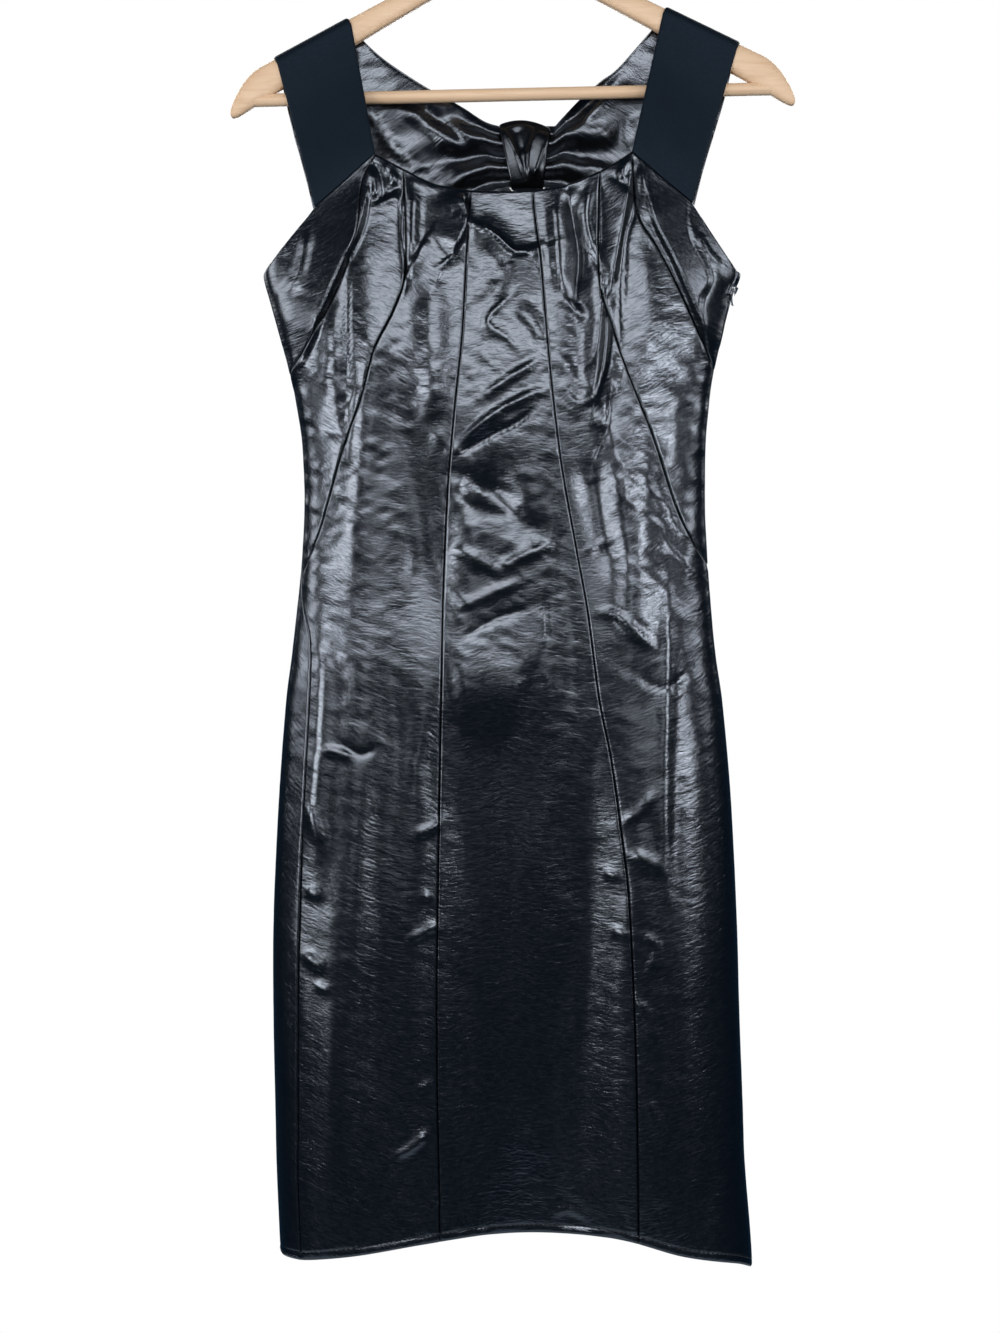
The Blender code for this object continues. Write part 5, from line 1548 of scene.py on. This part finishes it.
class DRESS_OT_straps(DressOperator, bpy.types.Operator):
    """Make the two straps over the hanger"""
    bl_idname = "dress.straps"
    bl_label = "Straps"

    def build(self, context):
        strap_pieces()


class DRESS_OT_back(DressOperator, bpy.types.Operator):
    """Make the two back panels"""
    bl_idname = "dress.back"
    bl_label = "Back panels"

    def build(self, context):
        back_pieces()


class DRESS_OT_knot(DressOperator, bpy.types.Operator):
    """Make the knot band at the back neck"""
    bl_idname = "dress.knot"
    bl_label = "Knot"

    def build(self, context):
        knot_piece()


class DRESS_OT_drapes(DressOperator, bpy.types.Operator):
    """Make the two gathered drapes between the shoulders and the knot"""
    bl_idname = "dress.drapes"
    bl_label = "Back drapes"

    def build(self, context):
        drape_pieces()


class DRESS_OT_stitches(DressOperator, bpy.types.Operator):
    """Make the row of stitches round the hem"""
    bl_idname = "dress.stitches"
    bl_label = "Hem stitches"

    def build(self, context):
        hem_stitches()


class DRESS_OT_zip(DressOperator, bpy.types.Operator):
    """Make the side zip's teeth, slider and pull tab"""
    bl_idname = "dress.zip"
    bl_label = "Side zip"

    def build(self, context):
        zip_teeth()
        polished("zip_slider", 0.00025, "dress")
        polished("zip_pull", 0.00015, "pull")


class DRESS_OT_hanger(DressOperator, bpy.types.Operator):
    """Make the wooden arms, trouser bar and hook"""
    bl_idname = "dress.hanger"
    bl_label = "Hanger"

    def build(self, context):
        hanger_arms()
        hanger_bar()
        hanger_hook()


class DRESS_OT_stage(DressOperator, bpy.types.Operator):
    """Make the floor, lamps, background and camera"""
    bl_idname = "dress.stage"
    bl_label = "Stage"

    def build(self, context):
        studio_world()
        studio_floor()
        for lamp in LAMPS:
            softbox(*lamp)
        studio_camera()


OPERATORS = (DRESS_OT_finishes, DRESS_OT_front, DRESS_OT_straps, DRESS_OT_back,
             DRESS_OT_knot, DRESS_OT_drapes, DRESS_OT_stitches, DRESS_OT_zip,
             DRESS_OT_hanger, DRESS_OT_stage)


class DRESS_PT_panel(bpy.types.Panel):
    """Buttons and sizes of the dress"""
    bl_label = "Cocktail dress"
    bl_idname = "DRESS_PT_panel"
    bl_space_type = "VIEW_3D"
    bl_region_type = "UI"
    bl_category = "Dress"

    def draw(self, context):
        layout = self.layout
        for group in (context.scene.dress_sizes, context.scene.dress_colours):
            for key in group.bl_rna.properties.keys():
                if key not in {"rna_type", "name"}:
                    layout.prop(group, key)
        for operator in OPERATORS:
            layout.operator(operator.bl_idname)


CLASSES = (DressSizes, DressColours) + OPERATORS + (DRESS_PT_panel,)


def register():
    for cls in CLASSES:
        bpy.utils.register_class(cls)
    bpy.types.Scene.dress_sizes = bpy.props.PointerProperty(type=DressSizes)
    bpy.types.Scene.dress_colours = bpy.props.PointerProperty(type=DressColours)


def unregister():
    del bpy.types.Scene.dress_colours
    del bpy.types.Scene.dress_sizes
    for cls in reversed(CLASSES):
        bpy.utils.unregister_class(cls)


def main():
    register()
    for operator in OPERATORS:
        group, name = operator.bl_idname.split(".")
        getattr(getattr(bpy.ops, group), name)()


if __name__ == "__main__":
    main()
